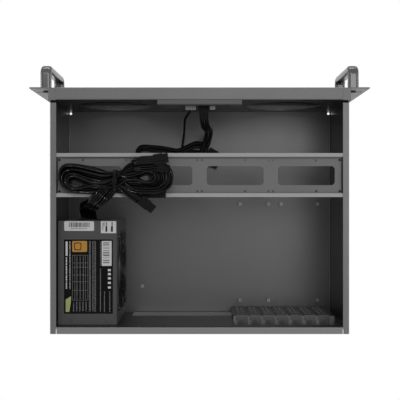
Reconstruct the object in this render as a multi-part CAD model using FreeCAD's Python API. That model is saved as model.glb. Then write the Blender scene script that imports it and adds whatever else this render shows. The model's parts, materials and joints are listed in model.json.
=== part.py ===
"""A short-depth 4U rack server case, lid off, with its power supply and cable harness fitted.

Millimetres. X runs across the case, Y from the front (-Y) to the rear (+Y), Z up from the
bottom face. While modelling, y = 0 is the front face of the rack ears; the last step moves
the whole model so that its origin is the middle of the bottom face.
"""
import FreeCAD, Part
import math
import os

V = FreeCAD.Vector

# ---- driving dimensions -------------------------------------------------------------------
RACK_W = 482.6            # over the ears, 19 inch rack
PANEL_H = 177.0           # four rack units less the gap
CASE_W = 425.0            # over the side walls
CASE_D = 350.0            # ear face to rear edge
SHEET = 1.2               # case steel
EAR_T = 2.0               # ear steel
FOLD_R = 1.0              # inner radius of a fold
SIDE_FLANGE = 9.0         # top flanges that the lid rests on
REAR_FLANGE = 10.2
HANDLE_REACH = 36.0       # front of the handle to the ear face
LID_SEAT = PANEL_H - SHEET
CHEEK_Z = (SHEET + 1.3, LID_SEAT - SHEET - 1.3)   # clear of the tray's folds

HALF_W = CASE_W / 2
INNER_W = HALF_W - SHEET
SEAM_X = HALF_W - SIDE_FLANGE
STRIP_D = 18.1            # depth of the strip over the front
FLANGE_START = 21.8       # the side flanges begin behind the ears
FRONT_WALL_Y = 15.5
REAR_WALL_Y = 339.8
MODEL_SHIFT = V(0, -(CASE_D - HANDLE_REACH) / 2, 0)

RACK_PITCH_X = 465.1      # rack slots, across
RACK_PITCH_Z = 101.6      # rack slots, up
RACK_SLOT = (10.0, 6.8)

HANDLE_X = 222.6
HANDLE_PITCH = 120.0
HANDLE_W = 16.0
HANDLE_T = 9.5
HANDLE_ELBOW = 9.0

SLOT_PITCH = 20.32
SLOT_FIRST_X = -62.6
SLOT_COUNT = 7
SLOT_PLANE_Y = 332.9
SLOT_LEDGE_Z = 113.0
SLOT_BOX_X = (-201.0, -50.5)
SLOT_BOX_TOP = 152.0
IO_X = (-53.0 + 0.6, 105.7)
IO_Z = (7.4, 51.9)

STANDOFF_H = 6.5
BOARD_X = (-65.4, -189.86)
BOARD_Y = (320.6, 165.66, 93.27)
BOARD_EXTRA = ((-111.1, 320.6), (-111.1, 165.66), (-131.4, 165.66),
               (92.1, 297.7), (92.1, 165.66), (92.1, 93.27))

BRIDGE_Y = (93.2, 155.6)
BRIDGE_FLANGE = 5.0
BRIDGE_SCREW_Y = (BRIDGE_Y[0] + 2.5, BRIDGE_Y[1] - 2.5)
BRIDGE_SCREW_Z = LID_SEAT - 11.0
BRIDGE_DROP = 6.6
BRIDGE_HALF = 202.3
BAY_PITCH = 101.6
WINDOW = (81.0, 27.2, 5.0)
DRIVE_HOLES = (95.25, 44.45)

PSU_X = (119.6, 205.6)
PSU_Y = (189.8, 339.8)
PSU_Z = (1.2, 151.2)
PSU_T = 1.0
PSU_SEAM_X = 201.0
PSU_LID_SCREWS = ((186.0, 334.0), (135.0, 334.0))
FAN_Y = 266.0
FAN_Z = 76.2
FAN_R = 57.0
FAN_HUB_R = 19.0
FAN_BLADES = 7
SHAFT_R = 1.5
RUNNING_GAP = 0.05

CONTROL_Z = 150.0
BUTTON_TRAVEL = 1.2
BUTTON_GAP = 0.3
POWER_X = -38.0
RESET_X = -20.0
LED_X = (-8.0, -1.0)
USB_X = (20.0, 42.0)
BOARD_FACE_Y = 19.0       # front of the control board

ROCKER_TILT = 9.0
ROCKER_HALF = 6.6

parts = {}


# ---- small builders -----------------------------------------------------------------------
def block(x, y, z):
    """A box from three (low, high) spans."""
    return Part.makeBox(x[1] - x[0], y[1] - y[0], z[1] - z[0], V(x[0], y[0], z[0]))


def rod(start, axis, radius, length):
    return Part.makeCylinder(radius, length, V(*start), V(*axis))


def joined(shapes):
    """One solid from shapes that touch or overlap."""
    shapes = list(shapes)
    whole = shapes[0].fuse(shapes[1:]) if len(shapes) > 1 else shapes[0]
    return whole.removeSplitter()


def mirrored(shape):
    return shape.mirror(V(0, 0, 0), V(1, 0, 0))


def placed(plane, u, v):
    """A point of a drawing plane: xy, xz or yz."""
    return {"xy": V(u, v, 0), "xz": V(u, 0, v), "yz": V(0, u, v)}[plane]


NORMAL = {"xy": V(0, 0, 1), "xz": V(0, 1, 0), "yz": V(1, 0, 0)}


def prism(points, plane, span):
    """A straight-sided outline extruded along the plane's normal."""
    corners = [placed(plane, u, v) + NORMAL[plane] * span[0] for u, v in points]
    face = Part.Face(Part.makePolygon(corners + corners[:1]))
    return face.extrude(NORMAL[plane] * (span[1] - span[0]))


def rounded(centre, size, radius, plane, span):
    """A rectangle with round corners (a slot when the radius is half its height), extruded."""
    (cu, cv), (w, h) = centre, size
    radius = min(radius, w / 2, h / 2)
    edges = []
    corner = [(1, 1, 0), (-1, 1, 90), (-1, -1, 180), (1, -1, 270)]
    arcs = []
    for su, sv, start in corner:
        u, v = cu + su * (w / 2 - radius), cv + sv * (h / 2 - radius)
        arcs.append([placed(plane, u + radius * math.cos(math.radians(start + a)),
                            v + radius * math.sin(math.radians(start + a))) for a in (0, 45, 90)])
    for k, arc in enumerate(arcs):
        edges.append(Part.Arc(*arc).toShape())
        following = arcs[(k + 1) % 4][0]
        if arc[2].distanceToPoint(following) > 1e-6:
            edges.append(Part.LineSegment(arc[2], following).toShape())
    face = Part.Face(Part.Wire(Part.__sortEdges__(edges)))
    return face.translated(NORMAL[plane] * span[0]).extrude(NORMAL[plane] * (span[1] - span[0]))


def hexagon(centre, across, plane, span):
    r = across / math.sqrt(3)
    points = [(centre[0] + r * math.cos(math.radians(60 * k)),
               centre[1] + r * math.sin(math.radians(60 * k))) for k in range(6)]
    return prism(points, plane, span)


def folded(points, plane, span, t=SHEET, bend=FOLD_R):
    """Folded sheet: the mid-line given as points, with round folds, extruded over the span."""
    mid_r = bend + t / 2
    pts = [V(u, v, 0) for u, v in points]
    dirs = [(b - a).normalize() for a, b in zip(pts, pts[1:])]
    left = [V(-d.y, d.x, 0) for d in dirs]
    sides = []
    for side in (t / 2, -t / 2):
        run, here = [], pts[0] + left[0] * side
        for k in range(1, len(pts) - 1):
            turn = 1 if dirs[k - 1].cross(dirs[k]).z > 0 else -1
            cut = mid_r * math.tan(dirs[k - 1].getAngle(dirs[k]) / 2)
            a = pts[k] - dirs[k - 1] * cut
            b = pts[k] + dirs[k] * cut
            centre = a + left[k - 1] * (turn * mid_r)
            middle = centre + (pts[k] - centre).normalize() * (mid_r - turn * side)
            first, last = a + left[k - 1] * side, b + left[k] * side
            run.append(("line", here, first))
            run.append(("arc", first, middle, last))
            here = last
        end = pts[-1] + left[-1] * side
        run.append(("line", here, end))
        sides.append(run)
    outline = sides[0] + sides[1]
    outline.append(("line", sides[0][0][1], sides[1][0][1]))
    outline.append(("line", sides[0][-1][-1], sides[1][-1][-1]))
    edges = []
    for kind, *p in outline:
        p = [placed(plane, q.x, q.y) for q in p]
        edges.append((Part.LineSegment if kind == "line" else Part.Arc)(*p).toShape())
    face = Part.Face(Part.Wire(Part.__sortEdges__(edges)))
    return face.translated(NORMAL[plane] * span[0]).extrude(NORMAL[plane] * (span[1] - span[0]))


def pan_screw(head_at, axis, head_r, head_h, shank_r, shank):
    """A pan-head screw; the axis points from the seat of the head into the work."""
    a = V(*axis)
    seat = V(*head_at)
    head = Part.makeCylinder(head_r, head_h, seat - a * head_h, a)
    return joined([head, Part.makeCylinder(shank_r, shank + 0.2, seat - a * 0.2, a)])


def group(solids):
    """Separate solids kept in one node."""
    return Part.makeCompound(list(solids))


# ---- the case -----------------------------------------------------------------------------
def chassis_tray():
    """Floor, side walls and the side flanges, folded from one sheet."""
    mid, low, top = HALF_W - SHEET / 2, SHEET / 2, LID_SEAT - SHEET / 2
    open_front = folded([(-mid, LID_SEAT), (-mid, low), (mid, low), (mid, LID_SEAT)],
                        "xz", (0, FLANGE_START))
    flanged = folded([(-SEAM_X, top), (-mid, top), (-mid, low), (mid, low), (mid, top), (SEAM_X, top)],
                     "xz", (FLANGE_START, CASE_D))
    tray = joined([open_front, flanged])
    relief = [rod((side * (INNER_W - 3.0), FRONT_WALL_Y + SHEET + 2.6, -1), (0, 0, 1), 2.0, 4)
              for side in (-1, 1)]
    rear_notch = [block((side * SEAM_X - 0.4, side * SEAM_X + 0.4), (CASE_D - REAR_FLANGE, CASE_D + 1),
                        (LID_SEAT - 2, LID_SEAT + 1)) for side in (-1, 1)]
    return tray.cut(relief + rear_notch + bridge_screw_holes())


def bridge_screw_holes():
    """Holes for the bridge's screws through both side walls and the bridge's feet."""
    return [rod((-HALF_W - 1, y, BRIDGE_SCREW_Z), (1, 0, 0), 1.6, CASE_W + 2) for y in BRIDGE_SCREW_Y]


def rear_panel():
    """Rear wall with its lid flange, power supply window, card slot bay and board opening."""
    wall_mid = REAR_WALL_Y + SHEET / 2
    foot, top = SHEET * 1.5, LID_SEAT - SHEET / 2
    middle = folded([(CASE_D - 2, foot), (wall_mid, foot), (wall_mid, top), (CASE_D, top)],
                    "yz", (-SEAM_X + 0.4, SEAM_X - 0.4))
    cheeks = [block(sorted((side * (SEAM_X - 1), side * INNER_W)), (REAR_WALL_Y, REAR_WALL_Y + SHEET),
                    CHEEK_Z) for side in (-1, 1)]
    panel = joined([middle] + cheeks)
    through = (REAR_WALL_Y - 1, REAR_WALL_Y + SHEET + 1)
    cuts = [block(SLOT_BOX_X, (REAR_WALL_Y - 1, CASE_D), (0, SLOT_BOX_TOP)),
            block(IO_X, through, IO_Z),
            rounded(((PSU_X[0] + PSU_X[1]) / 2, PSU_Z[0] + 75), (67, 124), 4, "xz", through)]
    cuts += [rod((x, through[0], z), (0, 1, 0), 2.0, 5) for x, z in psu_screw_places()]
    return panel.cut(cuts)


def psu_screw_places():
    """The four holes of the power supply's rear face, standing on its side."""
    return [(PSU_X[1] - h, PSU_Z[0] + w) for w, h in ((6, 16), (6, 80), (144, 6), (120, 80))]


def slot_x(k):
    return SLOT_FIRST_X - SLOT_PITCH * k


def slot_housing():
    """The stepped-in housing of the card slots, with the ledge that the covers screw to."""
    plate = SLOT_PLANE_Y - SHEET / 2
    back = CASE_D - 1.1
    ledge = SLOT_LEDGE_Z - SHEET / 2
    sheet = folded([(plate, SHEET), (plate, ledge), (back, ledge), (back, SLOT_BOX_TOP - SHEET / 2),
                    (REAR_WALL_Y + SHEET, SLOT_BOX_TOP - SHEET / 2)], "yz", SLOT_BOX_X)
    cheek = [(SLOT_PLANE_Y - 0.2, SHEET), (REAR_WALL_Y + SHEET, SHEET), (REAR_WALL_Y + SHEET, ledge - 3),
             (back, ledge - 0.3), (back, SLOT_BOX_TOP - 0.6), (REAR_WALL_Y + SHEET, SLOT_BOX_TOP - 0.6),
             (REAR_WALL_Y + SHEET, ledge), (SLOT_PLANE_Y - 0.2, ledge)]
    sides = [prism(cheek, "yz", (SLOT_BOX_X[0], SLOT_BOX_X[0] + SHEET)),
             prism(cheek, "yz", (SLOT_BOX_X[1] - SHEET, SLOT_BOX_X[1]))]
    housing = joined([sheet] + sides)
    cuts = []
    for k in range(SLOT_COUNT):
        cuts.append(block((slot_x(k) - 6.3, slot_x(k) + 6.3), (plate - 2, plate + 2), (9, 104)))
        cuts.append(rod((slot_x(k), 341.5, ledge - 3), (0, 0, 1), 1.6, 6))
    return housing.cut(cuts)


def slot_cover(k):
    """A vented slot cover: a folded strip with a screw tab and rows of vents."""
    t, x = 0.9, slot_x(k)
    face = SLOT_PLANE_Y - SHEET - t / 2
    strip = folded([(face, 3.0), (face, SLOT_LEDGE_Z + t / 2), (345.0, SLOT_LEDGE_Z + t / 2)],
                   "yz", (x - 9.2, x + 9.2), t, 0.6)
    cuts = [block((x + side * 3.0 - 1.8, x + side * 3.0 + 1.8), (face - 2, face + 2), (z, z + 6.0))
            for side in (-1, 1) for z in [13.0 + 9.0 * row for row in range(10)]]
    cuts += [rod((x, 341.5, SLOT_LEDGE_Z - 1), (0, 0, 1), 1.8, 4),
             block((x + 6.4, x + 10), (338.0, 346), (SLOT_LEDGE_Z - 1, SLOT_LEDGE_Z + 2))]
    return strip.cut(cuts)


def slot_screws():
    return group(pan_screw((slot_x(k), 341.5, SLOT_LEDGE_Z + 0.9), (0, 0, -1), 3.3, 2.2, 1.4, 5)
                 for k in range(SLOT_COUNT))


def front_wall():
    """Inner front wall with two fan openings and the window for the control board."""
    mid, top = FRONT_WALL_Y + SHEET / 2, LID_SEAT - SHEET / 2
    wall = folded([(6, SHEET * 1.5), (mid, SHEET * 1.5), (mid, top), (6, top)], "yz", (-SEAM_X, SEAM_X))
    cheeks = [block(sorted((side * (SEAM_X - 1), side * INNER_W)), (FRONT_WALL_Y, FRONT_WALL_Y + SHEET),
                    CHEEK_Z) for side in (-1, 1)]
    wall = joined([wall] + cheeks)
    through = (FRONT_WALL_Y - 1, FRONT_WALL_Y + SHEET + 1)
    cuts = [block((-54, 54), through, (CONTROL_Z - 16, CONTROL_Z + 16))]
    for side in (-1, 1):
        cuts.append(rod((side * 128.0, through[0], 84.0), (0, 1, 0), 57.0, 5))
        cuts += [rod((side * 128.0 + sx * 52.5, through[0], 84.0 + sz * 52.5), (0, 1, 0), 2.2, 5)
                 for sx in (-1, 1) for sz in (-1, 1)]
    return wall.cut(cuts)


def front_panel():
    """Outer front: a vented face with the strip over the top, and the control openings."""
    face_mid, strip_mid = SHEET / 2, PANEL_H - SHEET / 2
    outer = folded([(5.4, SHEET * 1.5), (face_mid, SHEET * 1.5), (face_mid, strip_mid),
                    (STRIP_D - SHEET / 2, strip_mid), (STRIP_D - SHEET / 2, strip_mid - 3.4)],
                   "yz", (-SEAM_X + 0.2, SEAM_X - 0.2))
    cheeks = [block(sorted((side * (SEAM_X - 1), side * (INNER_W - 0.1))), (0, SHEET),
                    CHEEK_Z) for side in (-1, 1)]
    panel = joined([outer] + cheeks)
    through = (-1, SHEET + 1)
    cuts = [block((-61.5, 61.5), (STRIP_D - SHEET - 1.2, STRIP_D + 1), (PANEL_H - 8, LID_SEAT))]
    for side in (-1, 1):
        for row in range(2):
            for col in range(13):
                x, z = side * (128.0 + (col - 6) * 11.0), 56.0 + row * 58.0
                cuts.append(block((x - 2.75, x + 2.75), through, (z - 25.0, z + 25.0)))
    for r, x in ((6.0 + BUTTON_GAP, POWER_X), (3.0 + BUTTON_GAP, RESET_X), (1.6, LED_X[0]), (1.6, LED_X[1])):
        cuts.append(rod((x, through[0], CONTROL_Z), (0, 1, 0), r, 5))
    cuts += [block((x - 6.8, x + 6.8), through, (CONTROL_Z - 3.1, CONTROL_Z + 3.1)) for x in USB_X]
    return panel.cut(cuts)


def control_bracket():
    """The folded tab behind the strip that carries the control board."""
    leg = STRIP_D + 6.2
    tab = folded([(FRONT_WALL_Y + SHEET, LID_SEAT - SHEET / 2), (leg, LID_SEAT - SHEET / 2),
                  (leg, CONTROL_Z - 22)], "yz", (-60, 60))
    clip = [block((x - 0.6, x + 0.6), (FRONT_WALL_Y + SHEET, leg), (CONTROL_Z - 20, CONTROL_Z + 20))
            for x in (-56.0, 56.0)]
    window = rounded((2, CONTROL_Z + 2), (92, 24), 3, "xz", (leg - 2, leg + 2))
    return joined([tab] + clip).cut(window)


def control_board():
    """Board of the front controls: two key switches in front, plug headers behind."""
    board = block((-55.4, 55.4), (BOARD_FACE_Y, BOARD_FACE_Y + 1.6), (CONTROL_Z - 14, CONTROL_Z + 14))
    keys = []
    for x in (POWER_X, RESET_X):
        keys.append(block((x - 3, x + 3), (BOARD_FACE_Y - 1.4, BOARD_FACE_Y), (CONTROL_Z - 3, CONTROL_Z + 3)))
    headers = [block((-12.5, 0.5), (BOARD_FACE_Y + 1.6, 30.0), (CONTROL_Z - 3, CONTROL_Z + 4)),
               block((6.0, 20.0), (BOARD_FACE_Y + 1.6, 28.0), (CONTROL_Z - 9, CONTROL_Z - 3))]
    return joined([board] + keys + headers)


def button(x, radius):
    """A cap that passes through the panel on a collar and stops short of its key switch."""
    face = -1.8
    back = BOARD_FACE_Y - 1.4 - BUTTON_TRAVEL - 0.4
    cap = rod((x, face, CONTROL_Z), (0, 1, 0), radius, 6.2)
    rim = [e for e in cap.Edges if abs(e.BoundBox.YMax - face) < 1e-6]
    cap = cap.makeChamfer(0.5, rim)
    collar = rod((x, SHEET + 0.15, CONTROL_Z), (0, 1, 0), radius + 1.2, 1.6)
    stem = rod((x, 4.2, CONTROL_Z), (0, 1, 0), 1.6, back - 4.2)
    return joined([cap, collar, stem])


def indicator_lenses():
    """Two light pipes with domed ends, from the board to the face."""
    lenses = []
    for x in LED_X:
        pipe = rod((x, -0.3, CONTROL_Z), (0, 1, 0), 1.5, BOARD_FACE_Y + 0.3)
        lenses.append(pipe.makeChamfer(0.5, [e for e in pipe.Edges if abs(e.BoundBox.YMax + 0.3) < 1e-6]))
    return group(lenses)


def usb_port(x):
    """A receptacle shell with its tongue."""
    shell = block((x - 6.55, x + 6.55), (-0.3, BOARD_FACE_Y), (CONTROL_Z - 2.85, CONTROL_Z + 2.85))
    cavity = block((x - 6.15, x + 6.15), (-0.3, BOARD_FACE_Y - 6), (CONTROL_Z - 2.45, CONTROL_Z + 2.45))
    tongue = block((x - 5.4, x + 5.4), (1.0, BOARD_FACE_Y - 5.5), (CONTROL_Z + 0.3, CONTROL_Z + 2.0))
    return joined([shell.cut(cavity), tongue])


def ear():
    """Left rack ear: slotted front flange, side leg and a short tab over the side wall."""
    mid = HALF_W + EAR_T / 2
    angle = folded([(RACK_W / 2, EAR_T / 2), (mid, EAR_T / 2), (mid, 20.0)], "xy", (0, PANEL_H), EAR_T, 1.0)
    tab = block((SEAM_X, mid), (1.0, STRIP_D), (LID_SEAT, PANEL_H))
    bracket = joined([angle, tab])
    cuts = []
    for sz in (-1, 1):
        cuts.append(rounded((RACK_PITCH_X / 2, PANEL_H / 2 + sz * RACK_PITCH_Z / 2), RACK_SLOT,
                            RACK_SLOT[1] / 2, "xz", (-1, EAR_T + 1)))
        cuts.append(rod((HANDLE_X, -1, PANEL_H / 2 + sz * HANDLE_PITCH / 2), (0, 1, 0), 2.6, EAR_T + 2))
    cuts += [rod((mid - 3, 12.0, z), (1, 0, 0), 2.0, 6) for z in EAR_SCREW_Z]
    return bracket.cut(cuts)


EAR_SCREW_Z = (24.0, 88.5, 153.0)


def stadium(plane_x, y, z, along):
    """The handle's oval section, square to its run."""
    w, t = HANDLE_W / 2 - HANDLE_T / 2, HANDLE_T / 2

    def at(dx, dt):
        return V(plane_x + dx, y, z + dt) if along == "y" else V(plane_x + dx, y + dt, z)

    edges = [Part.LineSegment(at(-w, t), at(w, t)).toShape(), Part.Arc(at(w, t), at(w + t, 0), at(w, -t)).toShape(),
             Part.LineSegment(at(w, -t), at(-w, -t)).toShape(), Part.Arc(at(-w, -t), at(-w - t, 0), at(-w, t)).toShape()]
    return Part.Face(Part.Wire(edges))


def handle():
    """Bow handle: two posts, two round elbows and a grip, of one oval section."""
    low, high = PANEL_H / 2 - HANDLE_PITCH / 2, PANEL_H / 2 + HANDLE_PITCH / 2
    grip_y = -HANDLE_REACH + HANDLE_T / 2
    bend_y = grip_y + HANDLE_ELBOW
    pieces = []
    for z, sign in ((low, 1), (high, -1)):
        section = stadium(HANDLE_X, bend_y, z, "y")
        pieces.append(section.extrude(V(0, -bend_y, 0)))
        pieces.append(section.revolve(V(HANDLE_X, bend_y, z + sign * HANDLE_ELBOW), V(1, 0, 0), -90 * sign))
    grip = stadium(HANDLE_X, grip_y, low + HANDLE_ELBOW, "z")
    pieces.append(grip.extrude(V(0, 0, HANDLE_PITCH - 2 * HANDLE_ELBOW)))
    bow = joined(pieces)
    return bow.cut([rod((HANDLE_X, -12, z), (0, 1, 0), 2.0, 13) for z in (low, high)])


def handle_screws():
    return [pan_screw((HANDLE_X, EAR_T, PANEL_H / 2 + s * HANDLE_PITCH / 2), (0, -1, 0), 4.2, 2.6, 1.95, 10)
            for s in (-1, 1)]


def ear_screws():
    return [pan_screw((HALF_W + EAR_T, 12.0, z), (-1, 0, 0), 3.4, 1.8, 1.9, EAR_T) for z in EAR_SCREW_Z]


def drive_bridge():
    """The folded bridge that carries four drives, hung under the side flanges."""
    y0, y1 = BRIDGE_Y
    top, plate = LID_SEAT - SHEET * 1.5, LID_SEAT - SHEET * 1.5 - BRIDGE_DROP
    up0, up1 = y0 + BRIDGE_FLANGE + SHEET / 2, y1 - BRIDGE_FLANGE - SHEET / 2
    channel = folded([(y0, top), (up0, top), (up0, plate), (up1, plate), (up1, top), (y1, top)],
                     "yz", (-BRIDGE_HALF, BRIDGE_HALF))
    ends = [block(sorted((side * (BRIDGE_HALF - 1), side * (INNER_W - 1.0))), span, (top - SHEET / 2, top + SHEET / 2))
            for side in (-1, 1) for span in ((y0, y0 + 5), (y1 - 5, y1))]
    feet = [block(sorted((side * INNER_W, side * (INNER_W - SHEET))), span, (top - 16, top - 0.4))
            for side in (-1, 1) for span in ((y0, y0 + 5), (y1 - 5, y1))]
    bridge = joined([channel] + ends + feet)
    through = (plate - 2, plate + 2)
    mid_y = (y0 + y1) / 2
    cuts = []
    for bay in (-1.5, -0.5, 0.5, 1.5):
        cuts.append(rounded((bay * BAY_PITCH, mid_y + 0.6), WINDOW[:2], WINDOW[2], "xy", through))
        for sx in (-1, 1):
            for sy in (-1, 1):
                cuts.append(rod((bay * BAY_PITCH + sx * DRIVE_HOLES[0] / 2, mid_y + 0.6 + sy * DRIVE_HOLES[1] / 2,
                                 through[0]), (0, 0, 1), 1.8, 4))
    for x in (64.9, 166.5):
        for sx in (-1, 1):
            for sy in (-1, 1):
                cuts.append(rod((sx * x, mid_y + 0.6 + sy * DRIVE_HOLES[1] / 2, through[0]), (0, 0, 1), 1.7, 4))
    return bridge.cut(cuts + bridge_screw_holes())


def bridge_screws():
    """Pan heads outside the side walls, with their shanks in the bridge's feet."""
    return group(pan_screw((side * HALF_W, y, BRIDGE_SCREW_Z), (-side, 0, 0), 2.8, 1.2, 1.4, 2.6)
                 for side in (-1, 1) for y in BRIDGE_SCREW_Y)


def board_standoffs():
    """Hexagonal stand-offs with a tapped hole, one under each board hole."""
    places = [(x, y) for x in BOARD_X for y in BOARD_Y] + list(BOARD_EXTRA)
    studs = []
    for x, y in places:
        stud = hexagon((x, y), 5.5, "xy", (SHEET, SHEET + STANDOFF_H))
        studs.append(stud.cut(rod((x, y, SHEET + 1.5), (0, 0, 1), 1.5, STANDOFF_H)))
    return group(studs)


# ---- the power supply ---------------------------------------------------------------------
def psu_base():
    """Wall-side half of the casing with the front and rear plates."""
    x1, t = PSU_X[1], PSU_T
    (y0, y1), (z0, z1) = PSU_Y, PSU_Z
    side = folded([(PSU_SEAM_X + 0.1, z1 - t / 2), (x1 - t / 2, z1 - t / 2), (x1 - t / 2, z0 + t / 2),
                   (PSU_SEAM_X + 0.1, z0 + t / 2)], "xz", (y0, y1), t, 0.8)
    inner = (PSU_X[0] + t, x1 - t), (z0 + t, z1 - t)
    plate_z = (inner[1][0] + 0.9, inner[1][1] - 0.9)
    front = block(inner[0], (y0, y0 + t), plate_z)
    rear = block(inner[0], (y1 - t, y1), plate_z)
    casing = joined([side, front, rear])
    behind, ahead = (y1 - t - 1, y1 + 1), (y0 - 1, y0 + t + 1)
    cuts = [rounded((GROMMET_X, GROMMET_Z), (29.4, 23), 11.4, "xz", ahead),
            block((INLET_X - 12.6, INLET_X + 12.6), behind, (INLET_Z - 14.6, INLET_Z + 14.6)),
            block((SWITCH_X - 6.6, SWITCH_X + 6.6), behind, (SWITCH_Z - 9.6, SWITCH_Z + 9.6))]
    cuts += [rod((x, behind[0], z), (0, 1, 0), 1.6, 4) for x, z in psu_screw_places()]
    for row in range(7):
        for col in range(5):
            centre = (144.0 + col * 9.6 + (row % 2) * 4.8, 78.0 + row * 8.3)
            if centre[0] < 190:
                cuts.append(hexagon(centre, 7.6, "xz", behind))
    for col in range(5):
        cuts.append(rounded((142.0 + col * 9.0, 60.0), (4.0, 60.0), 2.0, "xz", ahead))
    return casing.cut(cuts)


GROMMET_X, GROMMET_Z = 163.0, 120.0
INLET_X, INLET_Z = 163.0, 32.0
SWITCH_X, SWITCH_Z = 163.0, 61.0


def psu_cover():
    """Case-side half of the casing, with the round fan opening."""
    x0, t = PSU_X[0], PSU_T
    z0, z1 = PSU_Z
    cover = folded([(PSU_SEAM_X - 0.1, z1 - t / 2), (x0 + t / 2, z1 - t / 2), (x0 + t / 2, z0 + t / 2),
                    (PSU_SEAM_X - 0.1, z0 + t / 2)], "xz", PSU_Y, t, 0.8)
    cuts = [rod((x0 - 1, FAN_Y, FAN_Z), (1, 0, 0), FAN_R, t + 2)]
    cuts += [rod((x0 - 1, FAN_Y + sy * 52.5, FAN_Z + sz * 52.5), (1, 0, 0), 1.8, t + 2)
             for sy in (-1, 1) for sz in (-1, 1)]
    cuts += [rod((x, y, z1 - t - 1), (0, 0, 1), 1.4, t + 2) for x, y in PSU_LID_SCREWS]
    return cover.cut(cuts)


def psu_fan_frame():
    """Square fan frame with its ring wall, motor cup, three struts and the shaft."""
    x0 = PSU_X[0] + PSU_T
    plate = rounded((FAN_Y, FAN_Z), (118, 118), 6, "yz", (x0, x0 + 3))
    far = rounded((FAN_Y, FAN_Z), (118, 118), 6, "yz", (x0 + 22, x0 + 25))
    wall = rod((x0, FAN_Y, FAN_Z), (1, 0, 0), FAN_R + 1.6, 25)
    bore = rod((x0 - 1, FAN_Y, FAN_Z), (1, 0, 0), FAN_R, 27)
    frame = joined([plate, far, wall]).cut(bore)
    cup = rod((x0 + 21, FAN_Y, FAN_Z), (1, 0, 0), FAN_HUB_R, 4)
    shaft = rod((x0 + 8, FAN_Y, FAN_Z), (1, 0, 0), SHAFT_R, 14)
    struts = []
    for k in range(3):
        arm = block((x0 + 22, x0 + 25), (FAN_Y - 2.5, FAN_Y + 2.5), (FAN_Z + FAN_HUB_R - 2, FAN_Z + FAN_R + 0.8))
        arm.rotate(V(0, FAN_Y, FAN_Z), V(1, 0, 0), 30 + 120 * k)
        struts.append(arm)
    holes = [rod((x0 - 1, FAN_Y + sy * 52.5, FAN_Z + sz * 52.5), (1, 0, 0), 2.1, 27)
             for sy in (-1, 1) for sz in (-1, 1)]
    return joined([frame, cup, shaft] + struts).cut(holes)


def fan_blade(x0):
    """One swept blade, lofted from its root to its wider tip; each section lies square to its radius."""
    sections = []
    for r, chord, pitch, lead in ((FAN_HUB_R - 2.0, 17.0, 48.0, 0.0), (FAN_R - 0.5, 35.0, 27.0, 19.0)):
        pitch, lead = math.radians(pitch), math.radians(lead)
        outward, round_hub = V(0, math.sin(lead), math.cos(lead)), V(0, math.cos(lead), -math.sin(lead))
        section = []
        for along, bow in ((-0.5, 0.0), (0.0, 0.10), (0.5, 0.0)):
            s = along * chord
            x = x0 + s * math.sin(pitch) + bow * chord * math.cos(pitch)
            section.append(V(x, FAN_Y, FAN_Z) + outward * r + round_hub * (s * math.cos(pitch)))
        loop = [p - V(0.7, 0, 0) for p in section] + [p + V(0.7, 0, 0) for p in section[::-1]]
        sections.append(Part.makePolygon(loop + loop[:1]))
    blade = Part.makeLoft(sections, True, True)
    return blade.common(rod((x0 - 20, FAN_Y, FAN_Z), (1, 0, 0), FAN_R - 2.0, 40))


def psu_fan_rotor():
    """Hub cup and seven swept blades, bored for the frame's shaft."""
    x0 = PSU_X[0] + PSU_T
    hub = rod((x0 + 3.0, FAN_Y, FAN_Z), (1, 0, 0), FAN_HUB_R, 17.6)
    hub = hub.makeFillet(1.5, [e for e in hub.Edges if abs(e.BoundBox.XMax - x0 - 3.0) < 1e-6])
    blade = fan_blade(x0 + 11.6)
    blades = []
    for k in range(FAN_BLADES):
        turned = blade.copy()
        turned.rotate(V(0, FAN_Y, FAN_Z), V(1, 0, 0), 360.0 / FAN_BLADES * k)
        blades.append(turned)
    rotor = joined([hub] + blades)
    return rotor.cut(rod((x0 + 7.5, FAN_Y, FAN_Z), (1, 0, 0), SHAFT_R + RUNNING_GAP, 15))


def psu_fan_guard():
    """Finger guard: rings on two crossing bars with four screw eyes."""
    x1 = PSU_X[0]
    x0 = x1 - 2.4
    rings = []
    for r in (16.0, 30.0, 44.0, 58.0):
        outer = rod((x0, FAN_Y, FAN_Z), (1, 0, 0), r + 0.8, 1.4)
        rings.append(outer.cut(rod((x0 - 1, FAN_Y, FAN_Z), (1, 0, 0), r - 0.8, 4)))
    bars = []
    for k in range(2):
        bar = block((x0 + 1.2, x1), (FAN_Y - 74.2, FAN_Y + 74.2), (FAN_Z - 0.8, FAN_Z + 0.8))
        bar.rotate(V(0, FAN_Y, FAN_Z), V(1, 0, 0), 45 + 90 * k)
        bars.append(bar)
    eyes = [rod((x0 + 1.2, FAN_Y + sy * 52.5, FAN_Z + sz * 52.5), (1, 0, 0), 4.0, 1.2)
            for sy in (-1, 1) for sz in (-1, 1)]
    holes = [rod((x0 - 1, FAN_Y + sy * 52.5, FAN_Z + sz * 52.5), (1, 0, 0), 1.9, 6)
             for sy in (-1, 1) for sz in (-1, 1)]
    return joined(rings + bars + eyes).cut(holes)


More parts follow.
